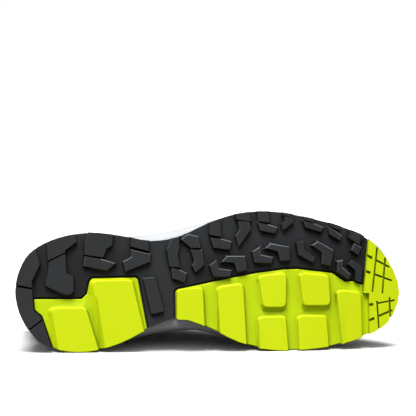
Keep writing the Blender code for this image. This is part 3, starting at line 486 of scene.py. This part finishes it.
# Half widths of tread and foot bed and height of the rim along the sole, as on the solids
Section = namedtuple("Section", "x treadLateral treadMedial footLateral footMedial rim")
soleSections = [Section(*row) for row in (
    (0.0, 0.0, 0.0, 0.0, 0.0, 35.5),
    (3.0, 16.0, 16.0, 16.0, 16.0, 35.3),
    (10.0, 28.2, 29.4, 28.2, 29.4, 35.0),
    (22.0, 36.6, 41.0, 36.6, 41.0, 34.5),
    (38.0, 42.4, 46.0, 42.4, 46.0, 34.0),
    (56.0, 45.0, 46.5, 45.0, 46.5, 33.4),
    (80.0, 43.0, 40.4, 45.0, 43.6, 32.4),
    (104.0, 38.9, 28.8, 46.2, 37.8, 31.0),
    (125.0, 41.9, 22.0, 50.2, 34.2, 29.2),
    (148.0, 52.4, 28.4, 56.4, 34.4, 26.8),
    (172.0, 60.3, 39.8, 60.8, 41.6, 24.6),
    (198.0, 62.3, 46.3, 62.3, 46.3, 23.2),
    (228.0, 57.7, 46.0, 57.7, 46.0, 23.0),
    (256.0, 50.6, 42.0, 50.6, 42.0, 24.4),
    (278.0, 41.6, 34.8, 41.6, 34.8, 26.8),
    (294.0, 26.0, 25.8, 26.0, 25.8, 29.2),
    (305.0, -2.0, 2.0, -2.0, 2.0, 30.5),
)]
# Top line of the upper over the same sections, handles of its profile, padding
Profile = namedtuple("Profile", "topX middle half topZ rise belly reach lift pad")
upperSections = [Profile(*row) for row in (
    (9.0, 0.0, 0.0, 104.0, 26.0, 5.0, -1.0, -26.0, 4.5),
    (10.5, 0.0, 9.0, 103.0, 26.0, 4.5, -0.5, -26.0, 4.5),
    (15.0, 0.0, 18.0, 100.0, 25.0, 3.0, 0.0, -25.0, 4.5),
    (26.0, 0.0, 27.5, 94.0, 24.0, 1.0, 1.0, -24.0, 4.5),
    (42.0, 0.0, 32.5, 88.5, 23.0, -0.5, 1.5, -22.0, 4.5),
    (62.0, 0.0, 34.0, 85.0, 22.0, -1.0, 2.0, -20.0, 4.5),
    (86.0, -0.5, 30.5, 90.0, 23.0, 0.0, 4.0, -19.0, 4.0),
    (106.0, -1.0, 23.0, 103.0, 25.0, 0.0, 8.0, -18.0, 2.5),
    (120.0, -1.5, 17.5, 112.0, 26.0, 0.0, 12.0, -14.0, 0.6),
    (142.0, -2.5, 16.0, 102.0, 26.0, 0.5, 15.0, -8.0, 0.0),
    (164.0, -3.5, 15.0, 91.5, 25.0, 1.0, 17.0, -3.0, 0.0),
    (184.0, -4.5, 13.5, 82.0, 25.0, 1.0, 20.0, 0.0, 0.0),
    (198.0, -5.0, 10.0, 75.5, 26.0, 1.0, 24.0, 0.0, 0.0),
    (203.5, -5.0, 6.5, 73.0, 27.0, 1.5, 36.0, -2.0, 0.0),
    (205.5, -5.0, 3.8, 72.2, 28.0, 2.0, 48.0, -4.0, 0.0),
    (206.3, -5.0, 1.8, 72.0, 28.0, 2.5, 53.0, -4.0, 0.0),
    (206.6, -5.0, 0.0, 72.0, 28.0, 3.0, 55.0, -4.0, 0.0),
)]


def mix(a, b, share):
    return a + (b - a) * share


def smoothStep(value):
    value = min(max(value, 0.0), 1.0)
    return value * value * (3.0 - 2.0 * value)


def closedCurve(rows, perSpan):  # smooth and closed, the first two numbers of a row are its place in plan
    count = len(rows)
    spans = [math.dist(rows[i][:2], rows[(i + 1) % count][:2]) for i in range(count)]
    slopes = []
    for i in range(count):
        before, after = spans[i - 1], spans[i]
        slopes.append([((p - a) / before * after + (b - p) / after * before) / (before + after)
                       for a, p, b in zip(rows[i - 1], rows[i], rows[(i + 1) % count])])
    curve = []
    for i in range(count):
        j = (i + 1) % count
        for step in range(perSpan):
            t = step / perSpan
            start = (1.0 + 2.0 * t) * (1.0 - t) ** 2
            leave = t * (1.0 - t) ** 2 * spans[i]
            arrive = t * t * (t - 1.0) * spans[i]
            curve.append([start * a + (1.0 - start) * b + leave * m + arrive * n
                          for a, b, m, n in zip(rows[i], rows[j], slopes[i], slopes[j])])
    return curve


def outwardOf(loop):
    ways = []
    for i in range(len(loop)):
        along = loop[(i + 1) % len(loop)] - loop[i - 1]
        ways.append(Vector((along.y, -along.x)).normalized())
    return ways


Sample = namedtuple("Sample", "tread foot outward lean rim top rise belly reach lift pad")


def walkAround(perSpan):  # from the heel along the lateral side to the toe and back along the medial side
    rows = []
    last = len(soleSections) - 1
    for side, order in ((-1, range(last)), (1, range(last, 0, -1))):
        for i in order:
            sole, upper = soleSections[i], upperSections[i]
            treadY = -sole.treadLateral if side < 0 else sole.treadMedial
            footY = -sole.footLateral if side < 0 else sole.footMedial
            rows.append((sole.x, treadY, footY, sole.rim, upper.topX, upper.middle + side * upper.half,
                         upper.topZ, upper.rise, upper.belly, upper.reach, upper.lift, upper.pad))
    curve = closedCurve(rows, perSpan)
    outer = [Vector((row[0], row[2])) for row in curve]
    wrapSpan = soleSizes["wrapFull"] - soleSizes["wrapStart"]
    foot = [p - way * soleSizes["toeWrap"] * smoothStep((p.x - soleSizes["wrapStart"]) / wrapSpan)
            for p, way in zip(outer, outwardOf(outer))]
    samples = []
    for row, place, way in zip(curve, foot, outwardOf(foot)):
        lean = mix(soleSizes["lateralLean"], soleSizes["medialLean"], (way.y + 1.0) / 2.0)
        samples.append(Sample(Vector(row[:2]), place, way, lean, row[3], Vector(row[4:7]), *row[7:]))
    return samples


def treadHeight(x):
    if x < soleSizes["bevelEnd"]:
        return soleSizes["heelBevel"] * (1.0 - x / soleSizes["bevelEnd"]) ** 2
    spring = max(x - soleSizes["springStart"], 0.0) / (soleSizes["tip"] - soleSizes["springStart"])
    return soleSizes["toeSpring"] * spring ** 2


def wallPoint(sample, z, step=0.0):
    plan = sample.foot - sample.outward * (soleSizes["wallInset"] + sample.lean * z + step)
    return Vector((plan.x, plan.y, z))


def upperProfile(sample, steps):
    inset = soleSizes["rimRound"] + soleSizes["rimWidth"] + upperSizes["featherStep"]
    foot = wallPoint(sample, sample.rim, inset)
    foot.z += soleSizes["gap"] - soleSizes["recessDepth"]
    away = (foot - sample.top) * Vector((1.0, 1.0, 0.0))
    low = foot + sample.outward.to_3d() * sample.belly + Vector((0.0, 0.0, sample.rise))
    high = sample.top + away.normalized() * sample.reach + Vector((0.0, 0.0, sample.lift))
    points = []
    for step in range(steps + 1):
        t = step / steps
        s = 1.0 - t
        points.append(foot * s ** 3 + low * 3.0 * s * s * t + high * 3.0 * s * t * t + sample.top * t ** 3)
    return points


ring = walkAround(soleSizes["perSpan"])
around = len(ring)


def skin(columns, marks=None):  # a grid with each vertex moved to its place, then joined along its seams
    bm = bmesh.new()
    uvMap = bm.loops.layers.uv.new("UVMap")
    overlay = bm.verts.layers.float.new("overlay")
    across, up = len(columns) - 1, len(columns[0]) - 1
    bmesh.ops.create_grid(bm, x_segments=across, y_segments=up, size=0.5)
    cells = {}
    for vert in bm.verts:
        i, k = round((vert.co.x + 0.5) * across), round((vert.co.y + 0.5) * up)
        cells[vert] = (i / across, k / up)
        vert.co = lay(columns[i][k])
        vert[overlay] = marks[i][k] if marks else 0.0
    for face in bm.faces:
        face.smooth = True
        for loop in face.loops:
            loop[uvMap].uv = cells[loop.vert]
    bmesh.ops.remove_doubles(bm, verts=bm.verts, dist=shoe["merge"])
    bmesh.ops.dissolve_degenerate(bm, edges=bm.edges, dist=shoe["merge"])
    bmesh.ops.recalc_face_normals(bm, faces=bm.faces)
    return bm


def middleOf(points, i):  # between a point of the walk round and the one across from it
    return (points[i] + points[(around - i) % around]) / 2.0


print("stage: moulded sole pieces")


def edgeGroups(edges):  # runs of edges that meet, so that a tight spot only narrows its own run
    waiting, groups = set(edges), []
    for first in edges:  # in the order given, so that each run of the script rounds alike
        if first not in waiting:
            continue
        waiting.remove(first)
        group, front = [], [first]
        while front:
            here = front.pop()
            group.append(here)
            touching = [e for vert in here.verts for e in vert.link_edges if e in waiting]
            waiting.difference_update(touching)
            front += touching
        groups.append(group)
    return groups


def convexEdges(bm, low, high, shortest):  # with the angle between their faces inside a range, in degrees
    return [e for e in bm.edges if e.is_manifold and e.is_convex and e.calc_length() > shortest
            and math.radians(low) < e.calc_face_angle() < math.radians(high)]


def roundRuns(bm, edges, radius, segments, clamp):
    made = []
    for group in edgeGroups(edges):
        made += bmesh.ops.bevel(bm, geom=group, offset=radius, offset_type="OFFSET", affect="EDGES",
                                segments=segments, profile=0.5, material=-1, clamp_overlap=clamp)["faces"]
    return made


def runsRound(edge, wrap):  # whether an edge of the toe wrap follows the outline of the shoe
    start, end = (stand(vert.co) for vert in edge.verts)
    return (min(start.z, end.z) - treadHeight(start.x) > wrap["from"]
            and abs(end.z - start.z) < wrap["level"] * (end - start).length)


def swellSide(bm, rim):  # between the lateral lugs the plate stands out to their faces, with a rolled edge
    crest = set()
    for vert in bm.verts:
        point = stand(vert.co)
        near = min(ring, key=lambda sample: (sample.tread - point.to_2d()).length_squared)
        height = point.z - treadHeight(point.x)
        if (near.tread - point.to_2d()).dot(near.outward) > rim["reach"]:
            continue
        if height < rim["crest"]:
            rise = height / rim["crest"]
        else:
            rise = (rim["top"] - height) / (rim["top"] - rim["crest"])
        push = rim["swell"] * smoothStep(rise) * smoothStep(-near.outward.y * rim["lateral"])
        vert.co = lay(point + near.outward.to_3d() * push)
        if push > rim["rolled"]:
            crest.add(vert)
    edges = [e for e in bm.edges if e.is_manifold and e.is_convex and crest.issuperset(e.verts)]
    roundRuns(bm, edges, rim["round"], rim["segments"], True)


def facesWall(face, tree, edge):  # whether another wall stands close before an edge, as in a slit
    ahead = turned.transposed() @ face.normal
    ahead.z = 0.0
    way = turned @ ahead.normalized()
    start = face.calc_center_median() + way * edge["slitStart"]
    return tree.ray_cast(start, way, edge["slit"])[0] is not None


def buttEnd(bm, butt):  # the insert's toe end closes up to the bumper, so that no gap shows
    for vert in bm.verts:
        point = stand(vert.co)
        if point.x > butt["from"]:
            vert.co = lay(point + Vector((butt["reach"], 0.0, 0.0)))


def mouldedCopy(node, material, slot, edge, wrap=None, rim=None, butt=None):
    bm = bmesh.new()
    bm.from_mesh(frame["nodes"][node].data)
    bmesh.ops.remove_doubles(bm, verts=bm.verts, dist=shoe["merge"])
    bmesh.ops.dissolve_limit(bm, verts=bm.verts, edges=bm.edges, angle_limit=math.radians(edge["flat"]))
    wornAndLitEdge = bm.faces.layers.float.new("wornAndLitEdge")
    recess = bm.faces.layers.float.new("recess")
    if wrap:
        creased = convexEdges(bm, wrap["flat"], wrap["sharp"], edge["shortest"])
        creased = [e for e in creased if runsRound(e, wrap)]
        roundRuns(bm, creased, wrap["round"], wrap["segments"], True)
    if rim:
        swellSide(bm, rim)
    if butt:
        buttEnd(bm, butt)
    sharp = convexEdges(bm, edge["sharp"], 180.0, edge["shortest"])
    if butt:  # the closed end stays square
        end = butt["from"] + butt["reach"]
        sharp = [e for e in sharp if max(stand(vert.co).x for vert in e.verts) < end]
    # the bevels made here carry the painted edge highlight, partly edge wear
    for face in roundRuns(bm, sharp, edge["round"], edge["segments"], edge["clamp"]):
        face[wornAndLitEdge] = 1.0
    bm.normal_update()
    tree = BVHTree.FromBMesh(bm)
    for face in bm.faces:  # how far a ground-facing face lies back from the tread
        facing = turned.transposed() @ face.normal
        point = stand(face.calc_center_median())
        depth = min(max((point.z - treadHeight(point.x)) / edge["lugDepth"], 0.0), 1.0)
        # painted shade: the deeper a ground-facing face lies, the more of the darker recess colour it takes
        face[recess] = depth * max(-facing.z, 0.0)
        face.smooth = face[wornAndLitEdge] > 0.0 or abs(facing.z) < edge["level"]
        # in a slit the painted highlight is dropped and the painted shade set full, so the slit reads dark
        if face[wornAndLitEdge] and facesWall(face, tree, edge):
            face[wornAndLitEdge], face[recess] = 0.0, edge["slitShade"]
        # painted highlight, partly edge wear: edges facing the lateral side, which is up as the shoe lies,
        # turn palest; the others keep a little
        wearAndHighlight = max(smoothStep(-facing.y * edge["lateral"]), abs(facing.x) * edge["ends"])
        face[wornAndLitEdge] *= mix(edge["scuff"], 1.0, wearAndHighlight) * (1.0 - depth)
    piece = newPiece(node + "Moulded", bm, material, slot, node)
    piece.data.set_sharp_from_angle(angle=math.radians(edge["smooth"]))
    even = piece.modifiers.new("evenShading", "WEIGHTED_NORMAL")
    even.keep_sharp = True


mouldEdge = {
    "flat": 0.5, "sharp": 28.0, "shortest": 0.0007, "round": 0.00045, "segments": 2, "clamp": True,
    "smooth": 42.0, "lugDepth": 4.5, "level": 0.97, "scuff": 0.1, "lateral": 1.4, "ends": 0.2,
    "slit": 0.0022, "slitStart": 0.00011, "slitShade": 10.0,  # a slit keeps full painted shade where the painted recess shade fades elsewhere
}
padEdge = {**mouldEdge, "round": 0.0008, "segments": 3, "clamp": False}  # softer
plateRim = {
    "reach": 1.6, "crest": 4.5, "top": 8.0, "swell": 0.9, "lateral": 1.5, "rolled": 0.4, "round": 0.0014,
    "segments": 4,
}
toeWrap = {"from": 9.0, "level": 0.5, "flat": 10.0, "sharp": 65.0, "round": 0.004, "segments": 5}
padEnd = {"from": 277.6, "reach": 0.4}
mouldedCopy("outsole", blackRubber, "black_rubber", mouldEdge, rim=plateRim)
mouldedCopy("toe_bumper", brightRubber, "bright_rubber", mouldEdge, wrap=toeWrap)
mouldedCopy("heel_pad", brightRubber, "bright_rubber", padEdge)
mouldedCopy("forefoot_pad", brightRubber, "bright_rubber", padEdge, butt=padEnd)

print("stage: midsole and insole")


midsole = {
    "wall": (0.0, 0.12, 0.25, 0.4, 0.55, 0.7, 0.85, 1.0), "shoulder": (0.33, 0.67, 1.0),  # shares of the way
    "rimTurns": (30.0, 60.0, 90.0), "blendGain": 2.0,
}
insole = {"step": 4.4, "thick": 4.0, "round": 1.2, "roundShare": 0.3}


def closeUp(columns, lows, tops):  # a floor and a top that meet along the middle
    closed = [[middleOf(lows, i)] + column + [middleOf(tops, i)] for i, column in enumerate(columns)]
    return skin(closed + closed[:1])


def makeMidsole():
    wallShares = midsole["wall"]
    lows, columns = [], []
    for sample in ring:
        base = soleSizes["plateTop"] + soleSizes["gap"] + treadHeight(sample.tread.x)
        low = wallPoint(sample, base)
        inset = soleSizes["plateInset"] + sample.lean * soleSizes["plateTop"]
        tread = sample.tread - sample.outward * inset
        if (tread - low.to_2d()).dot(sample.outward) < 0.0:
            low.xy = tread
        flare = wallPoint(sample, mix(base, sample.rim, soleSizes["flareShare"]))
        shoulder = wallPoint(sample, mix(base, sample.rim, soleSizes["shoulderShare"]))
        overhang = (flare - low).to_2d().dot(sample.outward)
        swell = soleSizes["archSwell"] * min(max(overhang / soleSizes["archFlare"], 0.0), 1.0)
        wall = []
        for share in wallShares:  # outwards first, then up
            bulge = 4.0 * swell * share * (1.0 - share)
            plan = low.to_2d().lerp(flare.to_2d(), share + bulge)
            wall.append(Vector((plan.x, plan.y, mix(low.z, flare.z, share - bulge))))
        wall += [flare.lerp(shoulder, share) for share in midsole["shoulder"]]
        rise = sample.rim - shoulder.z
        for turn in midsole["rimTurns"]:
            angle = math.radians(turn)
            wall.append(wallPoint(sample, shoulder.z + rise * math.sin(angle),
                                  soleSizes["rimRound"] * (1.0 - math.cos(angle))))
        ledge = wallPoint(sample, sample.rim, soleSizes["rimRound"] + soleSizes["rimWidth"])
        floor = ledge - Vector((0.0, 0.0, soleSizes["recessDepth"]))
        lows.append(low)
        columns.append(wall + [ledge, floor])
    reach = soleSizes["wallBlend"]
    for k in range(1, len(wallShares) + len(midsole["shoulder"])):  # even from column to column
        spread = reach
        if k < len(wallShares):
            spread = round(reach * smoothStep(wallShares[k] * midsole["blendGain"]))
        row = [column[k] for column in columns]
        for i in range(around):
            near = [row[(i + step) % around] for step in range(-spread, spread + 1)]
            columns[i][k] = sum(near, Vector()) / len(near)
    return closeUp(columns, lows, [column[-1] for column in columns])


def makeInsole():
    inset = soleSizes["rimRound"] + soleSizes["rimWidth"] + insole["step"]
    columns = []
    for sample in ring:
        under = wallPoint(sample, sample.rim, inset)
        under.z += soleSizes["gap"] - soleSizes["recessDepth"]
        inward = -sample.outward.to_3d()
        top = under + Vector((0.0, 0.0, insole["thick"]))
        corner = insole["round"] * insole["roundShare"]
        columns.append([under, top - Vector((0.0, 0.0, insole["round"])),
                        top + inward * corner - Vector((0.0, 0.0, corner)), top + inward * insole["round"]])
    return closeUp(columns, [column[0] for column in columns], [column[-1] for column in columns])


newPiece("midsoleFoam", makeMidsole(), paleFoam, "pale_foam", "midsole")
newPiece("insoleBed", makeInsole(), footBed, "foot_bed", "insole")

print("stage: upper")

panels = {
    "height": 0.6, "edge": 0.9, "reach": 8.0,  # step of an overlay in the wall
    "toeCap": 236.0, "toeCapSweep": 9.0,       # seam of the toe cap and how far it sweeps back at the sides
    "toeCapMiddle": -6.0, "toeCapHalf": 45.0,
    "counter": 60.0, "counterSlope": 0.35, "counterLevel": 35.0, "counterTop": 76.0,
    "eyestay": 16.0, "eyestayEnds": (7.45, 24.55), "outside": -9.0,
    "collar": 22.0, "collarEnds": (7.9, 24.1), "collarSwell": 1.0,
    "trough": 0.6, "troughWidth": 1.2,         # at the seam of the collar's padding
    "creaseFade": 0.2,
}
creases = [  # top x, feather x, width, depth, from and to share of the profile
    (221.0, 203.0, 4.5, 0.8, 0.25, 1.0),
    (209.0, 188.0, 5.0, 0.7, 0.2, 0.85),
    (95.0, 78.0, 6.0, 0.6, 0.45, 0.9),
    (108.0, 96.0, 5.0, 0.5, 0.4, 0.85),
]


def panelDistances(point, station, fromTop):  # millimetres inside each overlay
    aside = (point.y - panels["toeCapMiddle"]) / panels["toeCapHalf"]
    cap = point.x - panels["toeCap"] + panels["toeCapSweep"] * aside ** 2
    sloped = panels["counter"] - panels["counterSlope"] * (point.z - panels["counterLevel"])
    counter = min(sloped - point.x, panels["counterTop"] - point.z)
    first, last = panels["eyestayEnds"]
    eyestay = panels["eyestay"] - fromTop if first < station < last else panels["outside"]
    return {"toeCap": cap, "counter": counter, "eyestay": eyestay}


def reliefAt(point, station, fromTop, share):
    distances = panelDistances(point, station, fromTop)
    relief = panels["height"] * max(smoothStep(d / panels["edge"]) for d in distances.values())
    first, last = panels["collarEnds"]
    if not first < station < last:
        swell = math.sin(math.pi * min(max(fromTop / panels["collar"], 0.0), 1.0))
        relief += panels["collarSwell"] * swell
        relief -= panels["trough"] * math.exp(-((fromTop - panels["collar"]) / panels["troughWidth"]) ** 2)
    for topX, lowX, width, depth, low, high in creases:
        way = (point.x - mix(lowX, topX, share)) / width
        window = smoothStep((share - low) / panels["creaseFade"])
        if high < 1.0:
            window *= smoothStep((high - share) / panels["creaseFade"])
        relief += depth * window * math.exp(-way * way) * (way * way - 1.0)
    return relief


def upperColumns():
    steps = upperSizes["profileSteps"]
    plain = [upperProfile(sample, steps) for sample in ring]
    outer, inner, marks, overlays = [], [], [], []
    for i, profile in enumerate(plain):
        lengths = [0.0]
        for a, b in zip(profile[::-1], profile[-2::-1]):
            lengths.append(lengths[-1] + (a - b).length)
        lengths.reverse()
        faces, backs, rows, covers = [], [], [], []
        for k, point in enumerate(profile):
            sideways = plain[(i + 1) % around][k] - plain[i - 1][k]
            rising = profile[min(k + 1, steps)] - profile[max(k - 1, 0)]
            inward = rising.cross(sideways).normalized()
            share = k / steps
            station = i / soleSizes["perSpan"]
            padding = (share - upperSizes["paddingStart"]) / upperSizes["paddingSpan"]
            swell = math.sin(math.pi * min(max(padding, 0.0), 1.0))
            relief = reliefAt(point, station, lengths[k], share) if 0 < k else 0.0
            faces.append(point - inward * relief)
            backs.append(point + inward * (upperSizes["wall"] + ring[i].pad * swell))
            rows.append((point, -inward, station, lengths[k], share))
            inside = max(panelDistances(point, station, lengths[k]).values())
            covers.append(min(max(inside, -panels["reach"]), panels["reach"]))
        backs[0].z = profile[0].z
        outer.append(faces)
        inner.append(backs)
        marks.append(rows)
        overlays.append(covers)
    return outer, inner, marks, overlays


upperOuter, upperInner, upperMarks, upperOverlays = upperColumns()


def makeUpper():
    columns, marks = [], []
    for faces, backs, covers in zip(upperOuter, upperInner, upperOverlays):
        centre = (faces[-1] + backs[-1]) / 2.0
        reach = faces[-1] - centre
        crown = (faces[-1] - faces[-2]).normalized() * upperSizes["edgeRoll"]
        roll = []
        for step in range(1, upperSizes["rollSteps"]):
            angle = math.pi * step / upperSizes["rollSteps"]
            roll.append(centre + reach * math.cos(angle) + crown * math.sin(angle))
        columns.append(faces + roll + backs[::-1] + faces[:1])
        marks.append(covers + [covers[-1]] * (len(roll) + len(backs)) + covers[:1])
    return skin(columns + columns[:1], marks + marks[:1])


upper = newPiece("upperWall", makeUpper(), blackTextile, "black_textile", "upper")
upper.data.materials.append(blackLining)
upperRows = upperSizes["profileSteps"] * 2 + upperSizes["rollSteps"] + 1
liningRow = upperSizes["profileSteps"] + upperSizes["rollSteps"] * upperSizes["liningStart"]
uvLoops = upper.data.uv_layers["UVMap"].data
for face in upper.data.polygons:  # the lining starts over the rolled edge
    row = sum(uvLoops[loop].uv.y for loop in face.loop_indices) / len(face.loop_indices) * upperRows
    face.material_index = 1 if row > liningRow else 0

print("stage: stitches")

stitching = {
    "length": 2.4, "width": 0.75, "height": 0.5, "spacing": 3.1, "longestGap": 9.3, "rings": 6, "segments": 4,
    "rows": (("toeCap", 1.8), ("toeCap", 4.4), ("counter", 1.8), ("eyestay", 1.8)),
}


def seamLine(panel, level):  # where a row of stitches runs on the outer face, with the face's normals
    line = []
    for faces, rows in zip(upperOuter, upperMarks):
        inside = [panelDistances(row[0], row[2], row[3])[panel] - level for row in rows]
        for k in range(1, len(rows) - 1):
            if inside[k] * inside[k + 1] < 0.0 and abs(inside[k] - inside[k + 1]) < panels["reach"]:
                share = inside[k] / (inside[k] - inside[k + 1])
                line.append((faces[k].lerp(faces[k + 1], share), rows[k][1]))
                break
    return line


def makeStitches():
    bm = bmesh.new()
    for panel, level in stitching["rows"]:
        line = seamLine(panel, level)
        travelled = 0.0
        for (here, normal), (there, after) in zip(line, line[1:]):
            gap = (there - here).length
            if gap > stitching["longestGap"]:
                continue
            while travelled < gap:
                along = (there - here).normalized()
                across = normal.cross(along).normalized()
                seat = lay(here.lerp(there, travelled / gap))
                sides = [turned @ way for way in (along, across, along.cross(across))]
                turn = Matrix(sides).transposed().to_4x4()
                size = [stitching[key] * shoe["millimetre"] / 2.0 for key in ("length", "width", "height")]
                spot = Matrix.Translation(seat) @ turn @ Matrix.Diagonal((*size, 1.0))
                bmesh.ops.create_uvsphere(bm, u_segments=stitching["rings"], v_segments=stitching["segments"],
                                          radius=1.0, matrix=spot)
                travelled += stitching["spacing"]
            travelled -= gap
    for face in bm.faces:
        face.smooth = True
    return bm


newPiece("seamStitches", makeStitches(), blackThread, "black_textile")

print("stage: tongue and lace")


tongueSizes = {"flat": 40.0, "square": 80.0, "rounds": 2}  # degrees within which two triangles join


def makeTongue():
    bm = bmesh.new()
    bm.from_mesh(frame["nodes"]["tongue"].data)
    bmesh.ops.remove_doubles(bm, verts=bm.verts, dist=shoe["merge"])
    bmesh.ops.join_triangles(bm, faces=bm.faces, angle_face_threshold=math.radians(tongueSizes["flat"]),
                             angle_shape_threshold=math.radians(tongueSizes["square"]))
    for face in bm.faces:
        face.smooth = True
    return bm


tongue = newPiece("tonguePad", makeTongue(), blackLining, "black_padding", "tongue")
rounding = tongue.modifiers.new("rounding", "SUBSURF")
rounding.levels = rounding.render_levels = tongueSizes["rounds"]

laceSizes = {
    "width": 5.2, "thick": 1.4, "narrow": 0.72,       # flat lace, narrower in an eyelet
    "rows": 6, "stations": (11.4, 8.3), "eyelet": 8.0,
    "over": 1.45, "under": 3.4,                       # from the outer face to the middle of the lace
    "lead": 3.2, "leadWidth": 0.95,                   # beside an eyelet
    "lip": 0.7, "within": 1.2, "behind": 2.9,         # on its way through the wall
    "beyond": 4.0, "rise": 2.7,                       # where it comes out from under the edge
    "lower": -0.9, "higher": 0.8,                     # strands of a crossing, over the line between the edges
    "sides": 12, "samples": 5, "flatEdges": 0.6, "flatFaces": 0.8, "thicken": 0.5,
}
Knot = namedtuple("Knot", "place width")


def throatSide(station, side):
    index = round(station * soleSizes["perSpan"]) * side % around
    rows = upperMarks[index][::-1]
    edge = rows[0][0]
    below, above = next((a, b) for a, b in zip(rows, rows[1:]) if b[3] > laceSizes["eyelet"])
    share = (laceSizes["eyelet"] - below[3]) / (above[3] - below[3])
    eyelet = below[0].lerp(above[0], share)
    normal = below[1].lerp(above[1], share).normalized()
    return edge, eyelet, normal


def laceHalf(side):  # from the bar across the bottom to the top eyelet
    first, last = laceSizes["stations"]
    pitch = (first - last) / (laceSizes["rows"] - 1)
    over, under, narrow = laceSizes["over"], laceSizes["under"], laceSizes["narrow"]
    lip, behind, leadWidth = laceSizes["lip"], laceSizes["behind"], laceSizes["leadWidth"]
    knots = []
    for row in range(laceSizes["rows"]):
        station = first - pitch * row
        edge, eyelet, normal = throatSide(station, side)
        inwards = (edge - eyelet).normalized()
        lead = eyelet + inwards * laceSizes["lead"]
        if row == 0:
            other = throatSide(station, -side)[0]
            knots.append(Knot((edge + other) / 2.0 + Vector((0.0, 0.0, over)), 1.0))
        knots += [Knot(edge + normal * over, 1.0),
                  Knot(lead + normal * over, leadWidth),
                  Knot(eyelet + inwards * lip + normal * lip, narrow),
                  Knot(eyelet - normal * laceSizes["within"], narrow),
                  Knot(eyelet + inwards * lip - normal * behind, narrow)]
        if row < laceSizes["rows"] - 1:
            halves = [throatSide(station - pitch / 2.0, way)[0] for way in (1, -1)]
            level = laceSizes["higher"] if (side > 0) == (row % 2 == 0) else laceSizes["lower"]
            knots += [Knot(lead - normal * under, leadWidth),
                      Knot(edge - normal * under, 1.0),
                      Knot(edge + inwards * laceSizes["beyond"] - normal * laceSizes["rise"], 1.0),
                      Knot((halves[0] + halves[1]) / 2.0 + Vector((0.0, 0.0, level)), 1.0)]
        side = -side
    return knots


def makeLace():
    knots = laceHalf(1)[::-1] + laceHalf(-1)[1:]
    route, widths = [], []
    for i in range(len(knots) - 1):
        p = [knots[min(max(i + k, 0), len(knots) - 1)] for k in (-1, 0, 1, 2)]
        for step in range(laceSizes["samples"]):
            t = step / laceSizes["samples"]
            a, b, c, d = (knot.place for knot in p)
            route.append(b + ((c - a) * t + (a * 2.0 - b * 5.0 + c * 4.0 - d) * t * t
                              + (b * 3.0 - a - c * 3.0 + d) * t ** 3) / 2.0)
            widths.append(mix(p[1].width, p[2].width, t))
    first, last = (throatSide(place, 1)[0] + throatSide(place, -1)[0] for place in laceSizes["stations"])
    throat = (first - last).normalized()
    columns = []
    for i, point in enumerate(route):
        along = (route[min(i + 1, len(route) - 1)] - route[max(i - 1, 0)]).normalized()
        across = (throat - along * throat.dot(along)).normalized()
        face = along.cross(across)
        column = []
        for k in range(laceSizes["sides"] + 1):
            angle = 2.0 * math.pi * k / laceSizes["sides"]
            u, v = math.cos(angle), math.sin(angle)
            u = math.copysign(abs(u) ** laceSizes["flatEdges"], u)
            v = math.copysign(abs(v) ** laceSizes["flatFaces"], v)
            column.append(point + across * u * laceSizes["width"] / 2.0 * widths[i]
                          + face * v * laceSizes["thick"] / 2.0 / widths[i] ** laceSizes["thicken"])
        columns.append(column)
    start, end = ([sum(column[:-1], Vector()) / laceSizes["sides"]] * len(column)
                  for column in (columns[0], columns[-1]))
    return skin([start] + columns + [end])


newPiece("laceBraid", makeLace(), blackCord, "black_cord", "lace")

eyeletSizes = {"ring": 3.5, "wire": 0.9, "flat": 0.7, "lift": 0.1, "around": 20, "section": 8}


def makeEyelets():
    first, last = laceSizes["stations"]
    bm = bmesh.new()
    for row in range(laceSizes["rows"]):
        station = mix(first, last, row / (laceSizes["rows"] - 1))
        for side in (1, -1):
            eyelet, normal = throatSide(station, side)[1:]
            seat = lay(eyelet + normal * (panels["height"] + eyeletSizes["lift"]))
            axis = (lay(eyelet + normal) - lay(eyelet)).normalized()
            turn = axis.to_track_quat("Z", "X").to_matrix().to_4x4()
            upright = Matrix.Rotation(math.pi / 2.0, 4, "X")
            section = bmesh.ops.create_circle(bm, segments=eyeletSizes["section"], radius=eyeletSizes["wire"],
                                              matrix=upright)["verts"]
            for vert in section:
                vert.co = (vert.co + Vector((eyeletSizes["ring"], 0.0, 0.0))) * shoe["millimetre"]
                vert.co.z *= eyeletSizes["flat"]
            edges = list(dict.fromkeys(e for vert in section for e in vert.link_edges))
            bmesh.ops.spin(bm, geom=section + edges, cent=(0.0, 0.0, 0.0), axis=(0.0, 0.0, 1.0),
                           angle=2.0 * math.pi, steps=eyeletSizes["around"], use_merge=True)
            fresh = [vert for vert in bm.verts if not vert.tag]
            bmesh.ops.transform(bm, matrix=Matrix.Translation(seat) @ turn, verts=fresh)
            for vert in fresh:
                vert.tag = True
    bmesh.ops.remove_doubles(bm, verts=bm.verts, dist=shoe["merge"])
    bmesh.ops.recalc_face_normals(bm, faces=bm.faces)
    for face in bm.faces:
        face.smooth = True
    return bm


newPiece("eyeletRings", makeEyelets(), eyeletMetal, "black_textile")
